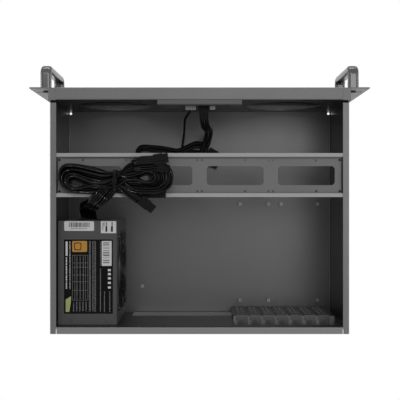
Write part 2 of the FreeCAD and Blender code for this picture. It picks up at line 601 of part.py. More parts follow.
def psu_inlet():
    """Mains inlet: flange, keyed recess and three blades."""
    y = PSU_Y[1]
    flange = rounded((INLET_X, INLET_Z), (27.0, 31.0), 2.0, "xz", (y, y + 1.4))
    body = block((INLET_X - 12.4, INLET_X + 12.4), (y - 18, y + 0.5), (INLET_Z - 14.4, INLET_Z + 14.4))
    keyed = [(INLET_X - 8.3, INLET_Z - 12), (INLET_X + 3.8, INLET_Z - 12), (INLET_X + 8.3, INLET_Z - 8.5),
             (INLET_X + 8.3, INLET_Z + 8.5), (INLET_X + 3.8, INLET_Z + 12), (INLET_X - 8.3, INLET_Z + 12)]
    recess = prism(keyed, "xz", (y - 15.5, y + 2))
    blades = [block((INLET_X + dx - 1, INLET_X + dx + 1), (y - 16.5, y - 4.5), (INLET_Z + dz - 2, INLET_Z + dz + 2))
              for dx, dz in ((-3.2, -7.0), (3.0, 0.0), (-3.2, 7.0))]
    return joined([joined([flange, body]).cut(recess)] + blades)


def psu_switch_body():
    """Rocker switch frame with the two bearing holes."""
    y = PSU_Y[1]
    bezel = rounded((SWITCH_X, SWITCH_Z), (15.0, 21.0), 1.5, "xz", (y, y + 1.6))
    body = block((SWITCH_X - 6.4, SWITCH_X + 6.4), (y - 14, y + 0.5), (SWITCH_Z - 9.4, SWITCH_Z + 9.4))
    well = block((SWITCH_X - 4.9, SWITCH_X + 4.9), (y - 11, y + 2), (SWITCH_Z - 8.2, SWITCH_Z + 8.2))
    bearing = rod((SWITCH_X - 6.0, y - 2.5, SWITCH_Z), (1, 0, 0), 1.2 + RUNNING_GAP, 12.0)
    return joined([bezel, body]).cut([well, bearing])


def psu_rocker():
    """The rocker: two faces at an angle, on two stub pins, tipped to its off side."""
    y = PSU_Y[1]
    side = [(y - 2.5 - 3.6, -4.0), (y - 2.5 - 3.6, 4.0), (y + 2.2, ROCKER_HALF), (y + 0.9, 0.0), (y + 2.2, -ROCKER_HALF)]
    body = prism([(yy, SWITCH_Z + zz) for yy, zz in side], "yz", (SWITCH_X - 4.6, SWITCH_X + 4.6))
    pins = rod((SWITCH_X - 5.8, y - 2.5, SWITCH_Z), (1, 0, 0), 1.2, 11.6)
    rocker = joined([body, pins])
    rocker.rotate(V(SWITCH_X, y - 2.5, SWITCH_Z), V(1, 0, 0), ROCKER_TILT)
    return rocker


def psu_grommet():
    """Oval rubber grommet round the cable exit."""
    y = PSU_Y[0]
    lip = rounded((GROMMET_X, GROMMET_Z), (34, 27.6), 13.7, "xz", (y - 1.6, y))
    collar = rounded((GROMMET_X, GROMMET_Z), (29, 22.6), 11.2, "xz", (y - 0.5, y + PSU_T + 0.3))
    hole = rounded((GROMMET_X, GROMMET_Z), (26, 19.8), 9.8, "xz", (y - 3, y + 4))
    return joined([lip, collar]).cut(hole)


def psu_screws():
    """Four rear screws, four fan screws and two casing screws."""
    wall = REAR_WALL_Y + SHEET
    rear = [pan_screw((x, wall, z), (0, -1, 0), 3.4, 2.2, 1.5, 6) for x, z in psu_screw_places()]
    fan = [pan_screw((PSU_X[0] - 1.2 - 0.0, FAN_Y + sy * 52.5, FAN_Z + sz * 52.5), (1, 0, 0), 3.2, 1.6, 1.6, 8)
           for sy in (-1, 1) for sz in (-1, 1)]
    lid = [pan_screw((x, y, PSU_Z[1]), (0, 0, -1), 2.4, 0.7, 1.2, 3.0) for x, y in PSU_LID_SCREWS]
    return group(rear + fan + lid)


# ---- the cable harness --------------------------------------------------------------------
# Each free cable is a plain tube along straight runs and tangent arcs; what is gathered into a
# hank is one closed solid of the hank's outer shape, standing on what carries it.
NECK = [V(163, 190.8, 120), V(162.7, 180, 120.3), V(161, 170.5, 129), V(158, 167, 146), V(153, 167.5, 164),
        V(144.5, 163.5, 180.5), V(136.4, 155.0, 187.4), V(127.8, 145, 187.6)]
NECK_CABLES = {           # diameter, place across the neck, place up from the neck's middle
    "cable_main": (9.0, -6.2, -2.9),
    "cable_cpu": (7.0, 2.6, -4.4),
    "cable_card": (7.0, 0.3, 4.8),
    "cable_drive_a": (5.0, 8.3, 0.6),
    "cable_drive_b": (5.0, -6.4, 4.8),
    "cable_drive_c": (5.0, 6.9, 6.1),
}
USB_LEAD_D = 6.2          # two round leads that lie side by side
USB_LEAD_PLACES = (-3.3, 3.3)
USB_LEAD = [V(-6, 30, 150.5), V(-6, 41, 150.5), V(-8, 52, 141), V(-11.5, 55, 117), V(-13.8, 53, 84),
            V(-14.6, 53.5, 52), V(-13.4, 60, 25), V(-10, 71, 12), V(-5, 83, 9)]
PANEL_LEAD_D = 3.2
PANEL_LEAD = [V(13, 28, 144), V(13, 36.5, 144), V(17, 43.5, 136), V(20.5, 46, 114), V(22, 46, 83),
              V(23.2, 48, 54), V(24.4, 54, 27), V(26.4, 66, 11), V(28.5, 80, 6.5)]
HANK_LEFT = [(122, 124), (143, 116.5), (160, 111.5), (176, 108), (190, 106.5), (200, 110), (202, 121),
             (200.5, 132), (195, 139), (185, 148), (176, 151.5), (165, 152.2), (152, 152.0), (138, 152), (127, 151.8), (121.8, 148)]
HANK_RIGHT = [(115, 124), (112, 116), (102, 107.5), (91, 101.8), (78, 100.4), (65, 102.5), (52, 101.5),
              (42, 109), (38.5, 120), (33, 133), (36, 145), (45, 151.5), (60, 155.5), (84, 152), (115, 142)]
BRIDGE_TOP = LID_SEAT - SHEET
HANK_BOTTOM = BRIDGE_TOP - BRIDGE_DROP
WAIST_BOTTOM = HANK_BOTTOM + 3.0
HANK_TOP = 197.0
HANK_MID_Y = 133.0
WAIST_W = 29.0
TIE_X = 118.5
FLOOR_HANK = [(107, 84), (101, 77.5), (92, 74.5), (81, 73.5), (68, 75.5), (54, 78), (40, 80), (29, 79),
              (20, 73.5), (12, 67.8), (3, 65.4), (-6, 67.5), (-13, 74), (-15, 82), (-10, 90), (0, 94),
              (14, 94.5), (30, 91), (45, 92), (62, 95.5), (80, 96.5), (97, 93)]
FLOOR_HANK_TOP = 14.0
LEAD_TIE_X = 34.0
OUTLINE_STEPS = 40         # straight runs round a hank
LEAD_WAIST = (86.0, SHEET + 6.2)


def beside(route, across, up):
    """A route that runs beside another, shifted square to it at each of its points."""
    shifted = []
    for k, p in enumerate(route):
        ahead = (route[min(k + 1, len(route) - 1)] - route[max(k - 1, 0)]).normalize()
        side = V(1, -0.8 * k / (len(route) - 1), 0)
        side = (side - ahead * ahead.dot(side)).normalize()
        shifted.append(p + side * across + ahead.cross(side) * up)
    return shifted


def cord_tube(name, route, diameter):
    """A round tube on straight runs and tangent arcs; says its tightest radius and its volume fit."""
    edges, here, length, tightest = [], route[0], 0.0, 1e9
    for k in range(1, len(route) - 1):
        before, after = route[k] - route[k - 1], route[k + 1] - route[k]
        cut = 0.45 * min(before.Length, after.Length)
        half_turn = before.getAngle(after) / 2
        radius = cut / math.tan(half_turn)
        tightest = min(tightest, radius)
        a = route[k] - before.normalize() * cut
        b = route[k] + after.normalize() * cut
        bulge = radius / math.cos(half_turn) - radius
        middle = route[k] + ((a + b) * 0.5 - route[k]).normalize() * bulge
        edges += [Part.LineSegment(here, a).toShape(), Part.Arc(a, middle, b).toShape()]
        length += here.distanceToPoint(a) + 2 * half_turn * radius
        here = b
    edges.append(Part.LineSegment(here, route[-1]).toShape())
    length += here.distanceToPoint(route[-1])
    path = Part.Wire(edges)
    start = Part.Wire(Part.makeCircle(diameter / 2, route[0], route[1] - route[0]))
    tube = path.makePipeShell([start], True, True)
    wanted = math.pi * diameter ** 2 / 4 * length
    print(f"{name}: length {length:.0f}, tightest radius {tightest:.0f}, volume fit {tube.Volume / wanted:.3f}")
    return tube


def blob(outline, low, high, edge):
    """A flat closed solid with a smooth outline, drawn in a little towards its top."""
    middle = V(sum(x for x, y in outline), sum(y for x, y in outline), 0) * (1 / len(outline))
    reach = max(V(x, y, 0).distanceToPoint(middle) for x, y in outline)
    curve = Part.BSplineCurve()
    curve.interpolate([V(x, y, 0) for x, y in outline], PeriodicFlag=True)
    course = curve.discretize(Number=OUTLINE_STEPS + 1)[:-1]
    wires = []
    for z, inset in ((low, 0.0), (high - edge, 0.0), (high - edge * 0.3, edge * 0.35), (high, edge)):
        keep = 1 - inset / reach
        loop = [V(middle.x + (p.x - middle.x) * keep, middle.y + (p.y - middle.y) * keep, z) for p in course]
        wires.append(Part.makePolygon(loop + loop[:1]))
    return Part.makeLoft(wires, True, True)


def harness_hank():
    """The gathered cables on the bridge: two lobes and the waist that the tie holds."""
    lobes = joined([blob(outline, HANK_BOTTOM, HANK_TOP, 7.0) for outline in (HANK_LEFT, HANK_RIGHT)])
    at_tie = block((TIE_X - 3.6, TIE_X + 3.6), (0, CASE_D), (0, HANK_TOP + 1))
    waist = rounded((HANK_MID_Y, (WAIST_BOTTOM + HANK_TOP) / 2), (WAIST_W, HANK_TOP - WAIST_BOTTOM), 8, "yz", (111, 126))
    over_flange = block((0, INNER_W), (BRIDGE_Y[1] - 7.4, CASE_D), (HANK_BOTTOM - 1, BRIDGE_TOP))
    plug_room = block((PLUG_MAIN[0][0] - 0.4, PLUG_MAIN[0][1] + 0.4), (PLUG_MAIN[1][0] - 0.4, PLUG_MAIN[1][1] + 4),
                      (HANK_BOTTOM - 1, PLUG_MAIN[2][1] + 2.2))
    return joined([lobes.cut(at_tie), waist]).cut([over_flange, plug_room])


PLUG_MAIN = ((47.5, 99.1), (141.0, 156.6), (BRIDGE_TOP, BRIDGE_TOP + 9.8))


def cable_tie():
    """Band round the waist with its locking head."""
    size = HANK_TOP - WAIST_BOTTOM
    mid = (HANK_MID_Y, (WAIST_BOTTOM + HANK_TOP) / 2)
    outer = rounded(mid, (WAIST_W + 2.4, size + 2.4), 9.0, "yz", (TIE_X - 2.4, TIE_X + 2.4))
    inner = rounded(mid, (WAIST_W, size), 7.2, "yz", (TIE_X - 3, TIE_X + 3))
    head = block((TIE_X - 3.4, TIE_X + 3.4), (HANK_MID_Y - 4, HANK_MID_Y + 4), (HANK_TOP + 0.2, HANK_TOP + 4.2))
    return joined([outer.cut(inner), head])


def main_plug():
    """Twenty-four-way plug lying on the bridge: housing, rows of mating posts and a latch."""
    (x0, x1), (y0, y1), (z0, z1) = PLUG_MAIN
    housing = block((x0, x1), (y0, y1 - 6.5), (z0, z1))
    pitch = (x1 - x0) / 12
    posts = [block((x0 + pitch * k + 0.3, x0 + pitch * (k + 1) - 0.3), (y1 - 7, y1), span)
             for k in range(12) for span in ((z0, z0 + 4.5), (z1 - 4.5, z1 - 0.6))]
    latch = block(((x0 + x1) / 2 - 3, (x0 + x1) / 2 + 3), (y0 + 2, y1 - 3), (z1, z1 + 1.8))
    return joined([housing, latch] + posts)


def lying_plug(centre, size, heading, tilt=0.0):
    """A small plug: a housing with a narrower nose, turned about Z and tipped down at its nose."""
    w, length, t = size
    body = block((-w / 2, w / 2), (0, length * 0.62), (-t / 2, t / 2))
    nose = block((-w / 2 + 1.0, w / 2 - 1.0), (length * 0.6, length), (-t / 2 + 0.9, t / 2 - 0.9))
    latch = block((-2.2, 2.2), (1.5, length * 0.8), (t / 2 - 0.2, t / 2 + 1.6))
    plug = joined([body, nose, latch])
    plug.rotate(V(0, 0, 0), V(1, 0, 0), -tilt)
    plug.rotate(V(0, 0, 0), V(0, 0, 1), heading)
    return plug.translated(V(*centre))


def cpu_plug():
    """Eight-way plug that hangs over the bridge's edge on a short end of its cable."""
    plug = lying_plug((83.5, 158.5, 192.5), (14.5, 24.0, 10.0), 51.0, 12.0)
    tail = [V(110, 139, 188), V(102, 146, 190.4), V(93, 152.4, 192.3), V(81, 160.5, 192.3)]
    return joined([plug, cord_tube("cpu_plug", tail, 8.0)])


def lead_hank():
    """The gathered front leads on the floor, narrowed where the small tie holds them."""
    heap = blob(FLOOR_HANK, SHEET, FLOOR_HANK_TOP, 4.0)
    at_tie = block((LEAD_TIE_X - 2.2, LEAD_TIE_X + 2.2), (0, CASE_D), (0, FLOOR_HANK_TOP + 1))
    waist = rounded(LEAD_WAIST, (14.0, 9.4), 4, "yz", (LEAD_TIE_X - 3, LEAD_TIE_X + 3))
    studs = [rod((x, y, 0), (0, 0, 1), 3.8, 20) for x, y in BOARD_EXTRA if y < BRIDGE_Y[1]]
    return joined([heap.cut(at_tie), waist]).cut(studs)


def lead_tie():
    """Small band round the floor hank."""
    outer = rounded(LEAD_WAIST, (16.4, 11.8), 5.0, "yz", (LEAD_TIE_X - 1.5, LEAD_TIE_X + 1.5))
    inner = rounded(LEAD_WAIST, (14.0, 9.4), 3.2, "yz", (LEAD_TIE_X - 3, LEAD_TIE_X + 3))
    return outer.cut(inner)


# ---- the whole part -----------------------------------------------------------------------
def build():
    parts["chassis_tray"] = chassis_tray()
    parts["rear_panel"] = rear_panel()
    parts["slot_housing"] = slot_housing()
    for k in range(SLOT_COUNT):
        parts[f"slot_cover_{k + 1}"] = slot_cover(k)
    parts["slot_screws"] = slot_screws()
    parts["front_wall"] = front_wall()
    parts["front_panel"] = front_panel()
    parts["control_bracket"] = control_bracket()
    parts["control_board"] = control_board()
    parts["power_button"] = button(POWER_X, 6.0)
    parts["reset_button"] = button(RESET_X, 3.0)
    parts["indicator_lenses"] = indicator_lenses()
    parts["usb_ports"] = group(usb_port(x) for x in USB_X)
    parts["ear_left"] = ear()
    parts["ear_right"] = mirrored(ear())
    parts["handle_left"] = handle()
    parts["handle_right"] = mirrored(handle())
    parts["handle_screws"] = group(handle_screws() + [mirrored(s) for s in handle_screws()])
    parts["ear_screws"] = group(ear_screws() + [mirrored(s) for s in ear_screws()])
    parts["drive_bridge"] = drive_bridge()
    parts["bridge_screws"] = bridge_screws()
    parts["board_standoffs"] = board_standoffs()
    parts["psu_base"] = psu_base()
    parts["psu_cover"] = psu_cover()
    parts["psu_fan_frame"] = psu_fan_frame()
    parts["psu_fan_rotor"] = psu_fan_rotor()
    parts["psu_fan_guard"] = psu_fan_guard()
    parts["psu_inlet"] = psu_inlet()
    parts["psu_switch_body"] = psu_switch_body()
    parts["psu_rocker"] = psu_rocker()
    parts["psu_grommet"] = psu_grommet()
    parts["psu_screws"] = psu_screws()
    for name, (diameter, across, up) in NECK_CABLES.items():
        parts[name] = cord_tube(name, beside(NECK, across, up), diameter)
    parts["harness_hank"] = harness_hank()
    parts["cable_tie"] = cable_tie()
    parts["main_plug"] = main_plug()
    parts["cpu_plug"] = cpu_plug()
    parts["drive_plugs"] = group([lying_plug((64.0, 103.5, 192.0), (15.0, 20.0, 6.0), 98.0),
                                  lying_plug((60.0, 113.5, 190.0), (13.0, 18.0, 6.0), 80.0)])
    parts["usb_lead"] = group([cord_tube("usb_lead", [p + V(across, 0, 0) for p in USB_LEAD], USB_LEAD_D)
                               for across in USB_LEAD_PLACES])
    parts["panel_lead"] = cord_tube("panel_lead", PANEL_LEAD, PANEL_LEAD_D)
    parts["lead_hank"] = lead_hank()
    parts["lead_tie"] = lead_tie()
    parts["usb_plug"] = lying_plug((-11.0, 86.5, 7.0), (27.0, 24.0, 11.6), 62.0)
    parts["panel_plugs"] = group(lying_plug((x, y, 3.2), (8.0, 14.0, 4.0), heading)
                                 for x, y, heading in ((66.0, 94.6, -12.0), (78.0, 95.2, 8.0), (100.5, 92.6, -25.0)))


def export():
    os.makedirs("parts", exist_ok=True)
    for name, shape in parts.items():
        moved = shape.translated(MODEL_SHIFT)
        if not moved.isValid():
            print("not valid:", name)
        moved.exportStep(os.path.join("parts", name + ".step"))


build()
export()
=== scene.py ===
import json
import math
import random

import bpy
from mathutils import Matrix, Vector

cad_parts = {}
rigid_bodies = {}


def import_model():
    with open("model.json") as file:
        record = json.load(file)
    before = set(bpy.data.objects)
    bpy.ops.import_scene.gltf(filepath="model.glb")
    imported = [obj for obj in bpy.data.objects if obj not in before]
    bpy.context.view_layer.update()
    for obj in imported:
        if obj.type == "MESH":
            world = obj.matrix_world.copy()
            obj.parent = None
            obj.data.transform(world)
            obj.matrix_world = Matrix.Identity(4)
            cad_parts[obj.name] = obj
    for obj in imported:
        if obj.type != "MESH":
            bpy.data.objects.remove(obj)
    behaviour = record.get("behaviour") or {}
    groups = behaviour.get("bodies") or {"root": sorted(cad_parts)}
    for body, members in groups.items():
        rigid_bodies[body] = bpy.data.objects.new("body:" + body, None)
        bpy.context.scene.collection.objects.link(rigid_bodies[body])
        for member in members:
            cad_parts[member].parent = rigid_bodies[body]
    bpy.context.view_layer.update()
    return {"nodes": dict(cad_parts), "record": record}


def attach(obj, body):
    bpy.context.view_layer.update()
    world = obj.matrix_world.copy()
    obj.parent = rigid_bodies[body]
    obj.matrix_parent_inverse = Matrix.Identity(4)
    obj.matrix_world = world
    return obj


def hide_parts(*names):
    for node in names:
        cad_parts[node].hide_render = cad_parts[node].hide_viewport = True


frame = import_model()

CASE_MIDDLE = 157.0     # distance of the frame's origin behind the ear face, in mm


def place(x, behind, z):
    """A point given in mm across, behind the ear face and up, in the frame's metres."""
    return Vector((x, behind - CASE_MIDDLE, z)) / 1000.0


# ---- materials ----------------------------------------------------------------------------
MIX_FACTOR, MIX_A, MIX_B, MIX_RESULT = 0, 6, 7, 2    # a Mix node's sockets when it mixes colours
GRAIN_HEIGHT = 0.0001       # height of every finish's fine grain, in metres
HIGHLIGHT_SOFTNESS = 0.0004       # how far the painted highlight on a rim fades out, in metres
OUTER_EDGE, OUTER_SOFTNESS = 0.02, 0.01    # a face counts as outside this far before the middle, in metres


def linear(code):
    """A hex sRGB colour as linear RGBA."""
    parts = [int(code[k:k + 2], 16) / 255.0 for k in (0, 2, 4)]
    return [c / 12.92 if c <= 0.04045 else ((c + 0.055) / 1.055) ** 2.4 for c in parts] + [1.0]


def add(tree, kind, links=(), **values):
    """Adds a node; values go to its sockets, or to its own settings when it has no such socket."""
    node = tree.nodes.new(kind)
    for name, value in values.items():
        label = name.replace("_", " ")
        socket = next((s for s in node.inputs if s.name.lower() == label.lower()), None)
        if socket is not None and not name.startswith("set_"):
            socket.default_value = value
        else:
            setattr(node, name.removeprefix("set_"), value)
    for source, target in links:
        tree.links.new(source, node.inputs[target])
    return node


def above(tree, where, height):
    """1 on the part of a piece above a height, in metres, and 0 below it."""
    parts = add(tree, "ShaderNodeSeparateXYZ", [(where, "Vector")])
    return step_at(tree, parts.outputs["Z"], height, HIGHLIGHT_SOFTNESS)


def outward(tree, where):
    """1 on the faces that point away from the case's middle, and 0 on those that face into it."""
    facing = add(tree, "ShaderNodeNewGeometry")
    lean = add(tree, "ShaderNodeVectorMath", [(where, 0), (facing.outputs["Normal"], 1)],
               set_operation="DOT_PRODUCT")
    return step_at(tree, lean.outputs["Value"], OUTER_EDGE, OUTER_SOFTNESS)


def step_at(tree, measure, edge, softness):
    """A soft step from 0 to 1 where a measure passes an edge."""
    step = add(tree, "ShaderNodeMapRange", [(measure, "Value")])
    step.inputs["From Min"].default_value = edge - softness
    step.inputs["From Max"].default_value = edge + softness
    return step.outputs["Result"]


def surface(name, dark, light, roughness, metallic=0.0, grain=1.1, bump=0.15, spread=0.06, patch=70.0,
            coat=0.0, specular=0.5, highlight_rims=None, outer=None):
    """A finish: two near colours in soft patches, a fine grain that bumps, and uneven gloss.

    grain and patch are the sizes of those marks in mm. Powder's orange peel is taken as 0.55 to 0.7 mm.
    The grain of plastic, plate and print is too fine to show, so it is drawn at 1.1 mm. rims is a
    height and the colour above it, and outer is the colour of the faces that point away from the
    case's middle; both lose the metallic look."""
    material = bpy.data.materials.new(name)
    material.use_nodes = True
    tree = material.node_tree
    tree.nodes.clear()
    where = add(tree, "ShaderNodeTexCoord").outputs["Object"]
    patches = add(tree, "ShaderNodeTexNoise", [(where, "Vector")], Scale=1000 / patch, Detail=3.0)
    fine = add(tree, "ShaderNodeTexNoise", [(where, "Vector")], Scale=1000 / grain, Detail=2.0)
    colour = add(tree, "ShaderNodeMix", [(patches.outputs["Fac"], MIX_FACTOR)], set_data_type="RGBA")
    colour.inputs[MIX_A].default_value = linear(dark)
    colour.inputs[MIX_B].default_value = linear(light)
    gloss = add(tree, "ShaderNodeMapRange", [(patches.outputs["Fac"], "Value")])
    gloss.inputs["To Min"].default_value = roughness - spread
    gloss.inputs["To Max"].default_value = roughness + spread
    relief = add(tree, "ShaderNodeBump", [(fine.outputs["Fac"], "Height")], Strength=bump,
                 Distance=GRAIN_HEIGHT)
    # the mask paints light: a painted highlight above a height, and a paler copy painted as lit on the faces
    # that point away from the case's middle
    if highlight_rims or outer:
        painted = above(tree, where, highlight_rims[0]) if highlight_rims else outward(tree, where)
        colour = add(tree, "ShaderNodeMix", [(painted, MIX_FACTOR), (colour.outputs[MIX_RESULT], MIX_A)],
                     set_data_type="RGBA")
        colour.inputs[MIX_B].default_value = linear(highlight_rims[1] if highlight_rims else outer)
        sheen = add(tree, "ShaderNodeMapRange", [(painted, "Value")])
        sheen.inputs["To Min"].default_value = metallic
        sheen.inputs["To Max"].default_value = 0.0
    shader = add(tree, "ShaderNodeBsdfPrincipled", [(colour.outputs[MIX_RESULT], "Base Color"),
                                                    (gloss.outputs["Result"], "Roughness"),
                                                    (relief.outputs["Normal"], "Normal")])
    if highlight_rims or outer:
        tree.links.new(sheen.outputs["Result"], shader.inputs["Metallic"])
    else:
        shader.inputs["Metallic"].default_value = metallic
    shader.inputs["Coat Weight"].default_value = coat
    shader.inputs["Specular IOR Level"].default_value = specular
    add(tree, "ShaderNodeOutputMaterial", [(shader.outputs["BSDF"], "Surface")])
    return material


MATERIALS = {
    # powder-coated sheet steel, one powder in two copies: a darker metallic copy inside, painted shade,
    # which shows the light in broad soft patches, and a paler matt copy on the outer faces, painted as lit
    "case_steel": surface("powder_coated_steel", "464646", "4c4c4c", 0.36, metallic=0.8, bump=0.2, grain=0.7,
                          outer="7c7c7c"),
    # the same powder on the rack ears: an even mid grey with a faint orange peel
    "front_steel": surface("powder_coated_front", "797979", "808080", 0.45, bump=0.35, grain=0.7),
    # powder on the bridge's pressed sheet: a dull grey, with a painted highlight much paler along the top
    # rims
    "bridge_steel": surface("powder_coated_bridge", "707070", "767676", 0.5, bump=0.3, grain=0.7,
                            highlight_rims=(0.1735, "bebebe")),
    # powder on the slot covers' thin steel: a darker grey than the ears'
    "cover_steel": surface("powder_coated_covers", "4a4a4a", "515151", 0.45, bump=0.3, grain=0.7),
    # lacquered aluminium of the handles: a smooth light satin that shades with the light
    "handle_finish": surface("satin_lacquered_aluminium", "4e4e4e", "565656", 0.24, metallic=0.85, bump=0.05),
    # black-passivated zinc screws: dark heads with a soft metal sheen
    "black_screws": surface("black_zinc_screws", "2a2a2a", "333333", 0.4, metallic=0.6, bump=0.05),
    # glass-epoxy board under a printed solder mask: deep green with a thin clear gloss
    "circuit_board": surface("green_solder_mask", "0e3a20", "124526", 0.35, coat=0.3, bump=0.05),
    # moulded ABS: a soft black with a dim sheen
    "button_plastic": surface("satin_black_abs", "232323", "292929", 0.4),
    # moulded acrylic of the light pipes: pale, with a hard highlight
    "lens_plastic": surface("clear_acrylic_lens", "c9d2d8", "d5dde2", 0.12, coat=0.6, bump=0.0),
    # stamped and tin-plated socket shells: bright metal rims
    "plated_shell": surface("tin_plated_shell", "b6b6b6", "c4c4c4", 0.25, metallic=1.0, bump=0.05),
    # coarse powder on the power supply's casing: its grain scatters the light to an even dark grey
    "psu_steel": surface("black_powder_coat", "5f5f5f", "666666", 0.5, bump=0.5, grain=0.55, specular=0.12),
    # moulded plastic of the fan: black with a broad dim sheen on the blades
    "fan_plastic": surface("black_fan_plastic", "1b1b1b", "202020", 0.38),
    # coated steel wire of the guard: black with a thin line of light along each ring
    "guard_wire": surface("black_coated_wire", "171717", "1c1c1c", 0.3),
    # moulded nylon of the mains inlet and the rocker: dull and near black
    "switch_plastic": surface("black_switch_nylon", "161616", "1b1b1b", 0.35, specular=0.12),
    # extruded PVC of the harness wires: jet black, and smooth enough for thin glints on the bends
    "cable_jacket": surface("black_pvc_jacket", "060607", "0b0b0c", 0.15, spread=0.04, patch=17.0,
                            specular=0.08),
    # moulded nylon of the plugs: the same black without the glints
    "plug_nylon": surface("black_plug_nylon", "0a0a0b", "0f0f10", 0.5, specular=0.08),
}
# coated paper of the labels: white without a shine
STICKER_WHITE = surface("matt_white_label_paper", "f0f0f0", "f8f8f8", 0.55, bump=0.05)
# printed film of the rating label: deep black, which sets off the print
STICKER_BLACK = surface("gloss_black_label_film", "0e0e0e", "121212", 0.4, bump=0.0, specular=0.05)
# print on the labels: flat even colours
PRINT_GREY = surface("grey_label_print", "8c8c8c", "989898", 0.5, bump=0.0, specular=0.1)
PRINT_DARK = surface("dark_label_print", "2c2c2c", "343434", 0.5, bump=0.0, specular=0.1)
PRINT_GOLD = surface("gold_label_print", "dca04a", "e6ac56", 0.45, bump=0.0, specular=0.1)
PRINT_YELLOW = surface("yellow_label_print", "c8cc8c", "d2d698", 0.45, bump=0.0, specular=0.1)
# undyed nylon of the control board's headers: a pale warm grey
HEADER_NYLON = surface("pale_header_nylon", "b8b8b2", "c4c4be", 0.45, bump=0.05)
# soft PVC of the front leads: black without glints
MATT_JACKET = surface("matt_black_jacket", "0a0a0a", "101010", 0.5, patch=17.0, specular=0.1)
# dull zinc plate of the slot and power supply screws: dark grey heads
DULL_ZINC = surface("dull_zinc_plated_steel", "3d3d3d", "494949", 0.5, metallic=0.8, bump=0.05)
# zinc plate of the board stand-offs: brighter than the dark floor, with small glints
STANDOFF_ZINC = surface("zinc_plated_standoffs", "6c6c6c", "787878", 0.3, metallic=0.6, bump=0.05)
# powder on the control bracket: a darker grey than the ears', painted shade where it hangs under the front
# strip
BRACKET_PAINT = surface("powder_coated_bracket", "4d4d4d", "535353", 0.5, bump=0.3, grain=0.7)
# powder on the rear panel: the case's darker inside copy, painted shade, and a still paler copy outside,
# painted as lit
REAR_PAINT = surface("powder_coated_rear", "464646", "4c4c4c", 0.36, metallic=0.8, bump=0.2, grain=0.7,
                     outer="949494")
# powder on the front's shell: the case's grey outside, and a near black copy inside, painted shade
FRONT_PAINT = surface("powder_coated_front_shell", "2a2a2a", "303030", 0.45, bump=0.35, grain=0.7,
                      outer="7c7c7c")
OWN_FINISH = {"front_panel": FRONT_PAINT, "rear_panel": REAR_PAINT, "slot_screws": DULL_ZINC,
              "psu_screws": DULL_ZINC, "board_standoffs": STANDOFF_ZINC, "control_bracket": BRACKET_PAINT}

slot_of = {entry["node"]: entry["material_slot"] for entry in frame["record"]["subparts"]}
for node, slot in slot_of.items():
    cad = frame["nodes"][node]
    cad.data.materials.clear()
    cad.data.materials.append(OWN_FINISH.get(node) or MATERIALS[slot])


# ---- building helpers ---------------------------------------------------------------------
def piece(name, vertices, faces, material, body="case", slot=None, smooth=False):
    """A plain mesh piece that rides on a body."""
    mesh = bpy.data.meshes.new(name)
    mesh.from_pydata([tuple(v) for v in vertices], [], faces)
    mesh.update()
    mesh.materials.append(material)
    if smooth:
        mesh.shade_smooth()
    made = bpy.data.objects.new(name, mesh)
    bpy.context.scene.collection.objects.link(made)
    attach(made, body)
    return made


def plates(spans):
    """Vertices and faces of closed boxes given by their x, y and z spans in metres."""
    vertices, faces = [], []
    for (x0, x1), (y0, y1), (z0, z1) in spans:
        n = len(vertices)
        vertices += [(x, y, z) for z in (z0, z1) for x, y in ((x0, y0), (x1, y0), (x1, y1), (x0, y1))]
        faces += [(n + 3, n + 2, n + 1, n), (n + 4, n + 5, n + 6, n + 7)]
        faces += [(n + k, n + (k + 1) % 4, n + 4 + (k + 1) % 4, n + 4 + k) for k in range(4)]
    return vertices, faces


def line_of(name, points, knots_each=10):
    """The smooth open curve on control points, read back as close points."""
    curve = bpy.data.curves.new(name + "_line", "CURVE")
    curve.dimensions = "3D"
    curve.resolution_u = knots_each
    spline = curve.splines.new("NURBS")
    spline.points.add(len(points) - 1)
    for knot, p in zip(spline.points, points):
        knot.co = (p.x, p.y, p.z, 1.0)
    spline.order_u = 3
    spline.use_endpoint_u = True
    holder = bpy.data.objects.new(name + "_line", curve)
    bpy.context.scene.collection.objects.link(holder)
    bpy.context.view_layer.update()
    mesh = bpy.data.meshes.new_from_object(holder)
    line = [v.co.copy() for v in mesh.vertices]
    bpy.data.objects.remove(holder)
    bpy.data.curves.remove(curve)
    bpy.data.meshes.remove(mesh)
    return line


SKEW = Vector((0.3, 0.5, 1.0))      # a direction that no cord starts along


def tube(name, line, diameter, material, sides=10):
    """A round tube along a line."""
    side = (line[1] - line[0]).cross(SKEW).normalized()
    vertices, faces = [], []
    for k, here in enumerate(line):
        ahead = (line[min(k + 1, len(line) - 1)] - line[max(k - 1, 0)]).normalized()
        side = (side - ahead * ahead.dot(side)).normalized()
        across = ahead.cross(side)
        for n in range(sides):
            turn = 2 * math.pi * n / sides
            vertices.append(here + (side * math.cos(turn) + across * math.sin(turn)) * (diameter / 2))
    for k in range(len(line) - 1):
        for n in range(sides):
            a, b = k * sides + n, k * sides + (n + 1) % sides
            faces.append((a, b, b + sides, a + sides))
    last = (len(line) - 1) * sides
    faces += [tuple(range(sides))[::-1], tuple(range(last, last + sides))]
    return piece(name, vertices, faces, material, slot="cable_jacket", smooth=True)


# ---- the plugs' terminal wells --------------------------------------------------------------
WELL_BLOCK = 0.0008         # height of a well's square block, in metres
WELL_DEPTH = 0.0006         # depth of the hollow in it, in metres
WELL_MOUTH = 0.7            # the hollow's share of the block's width


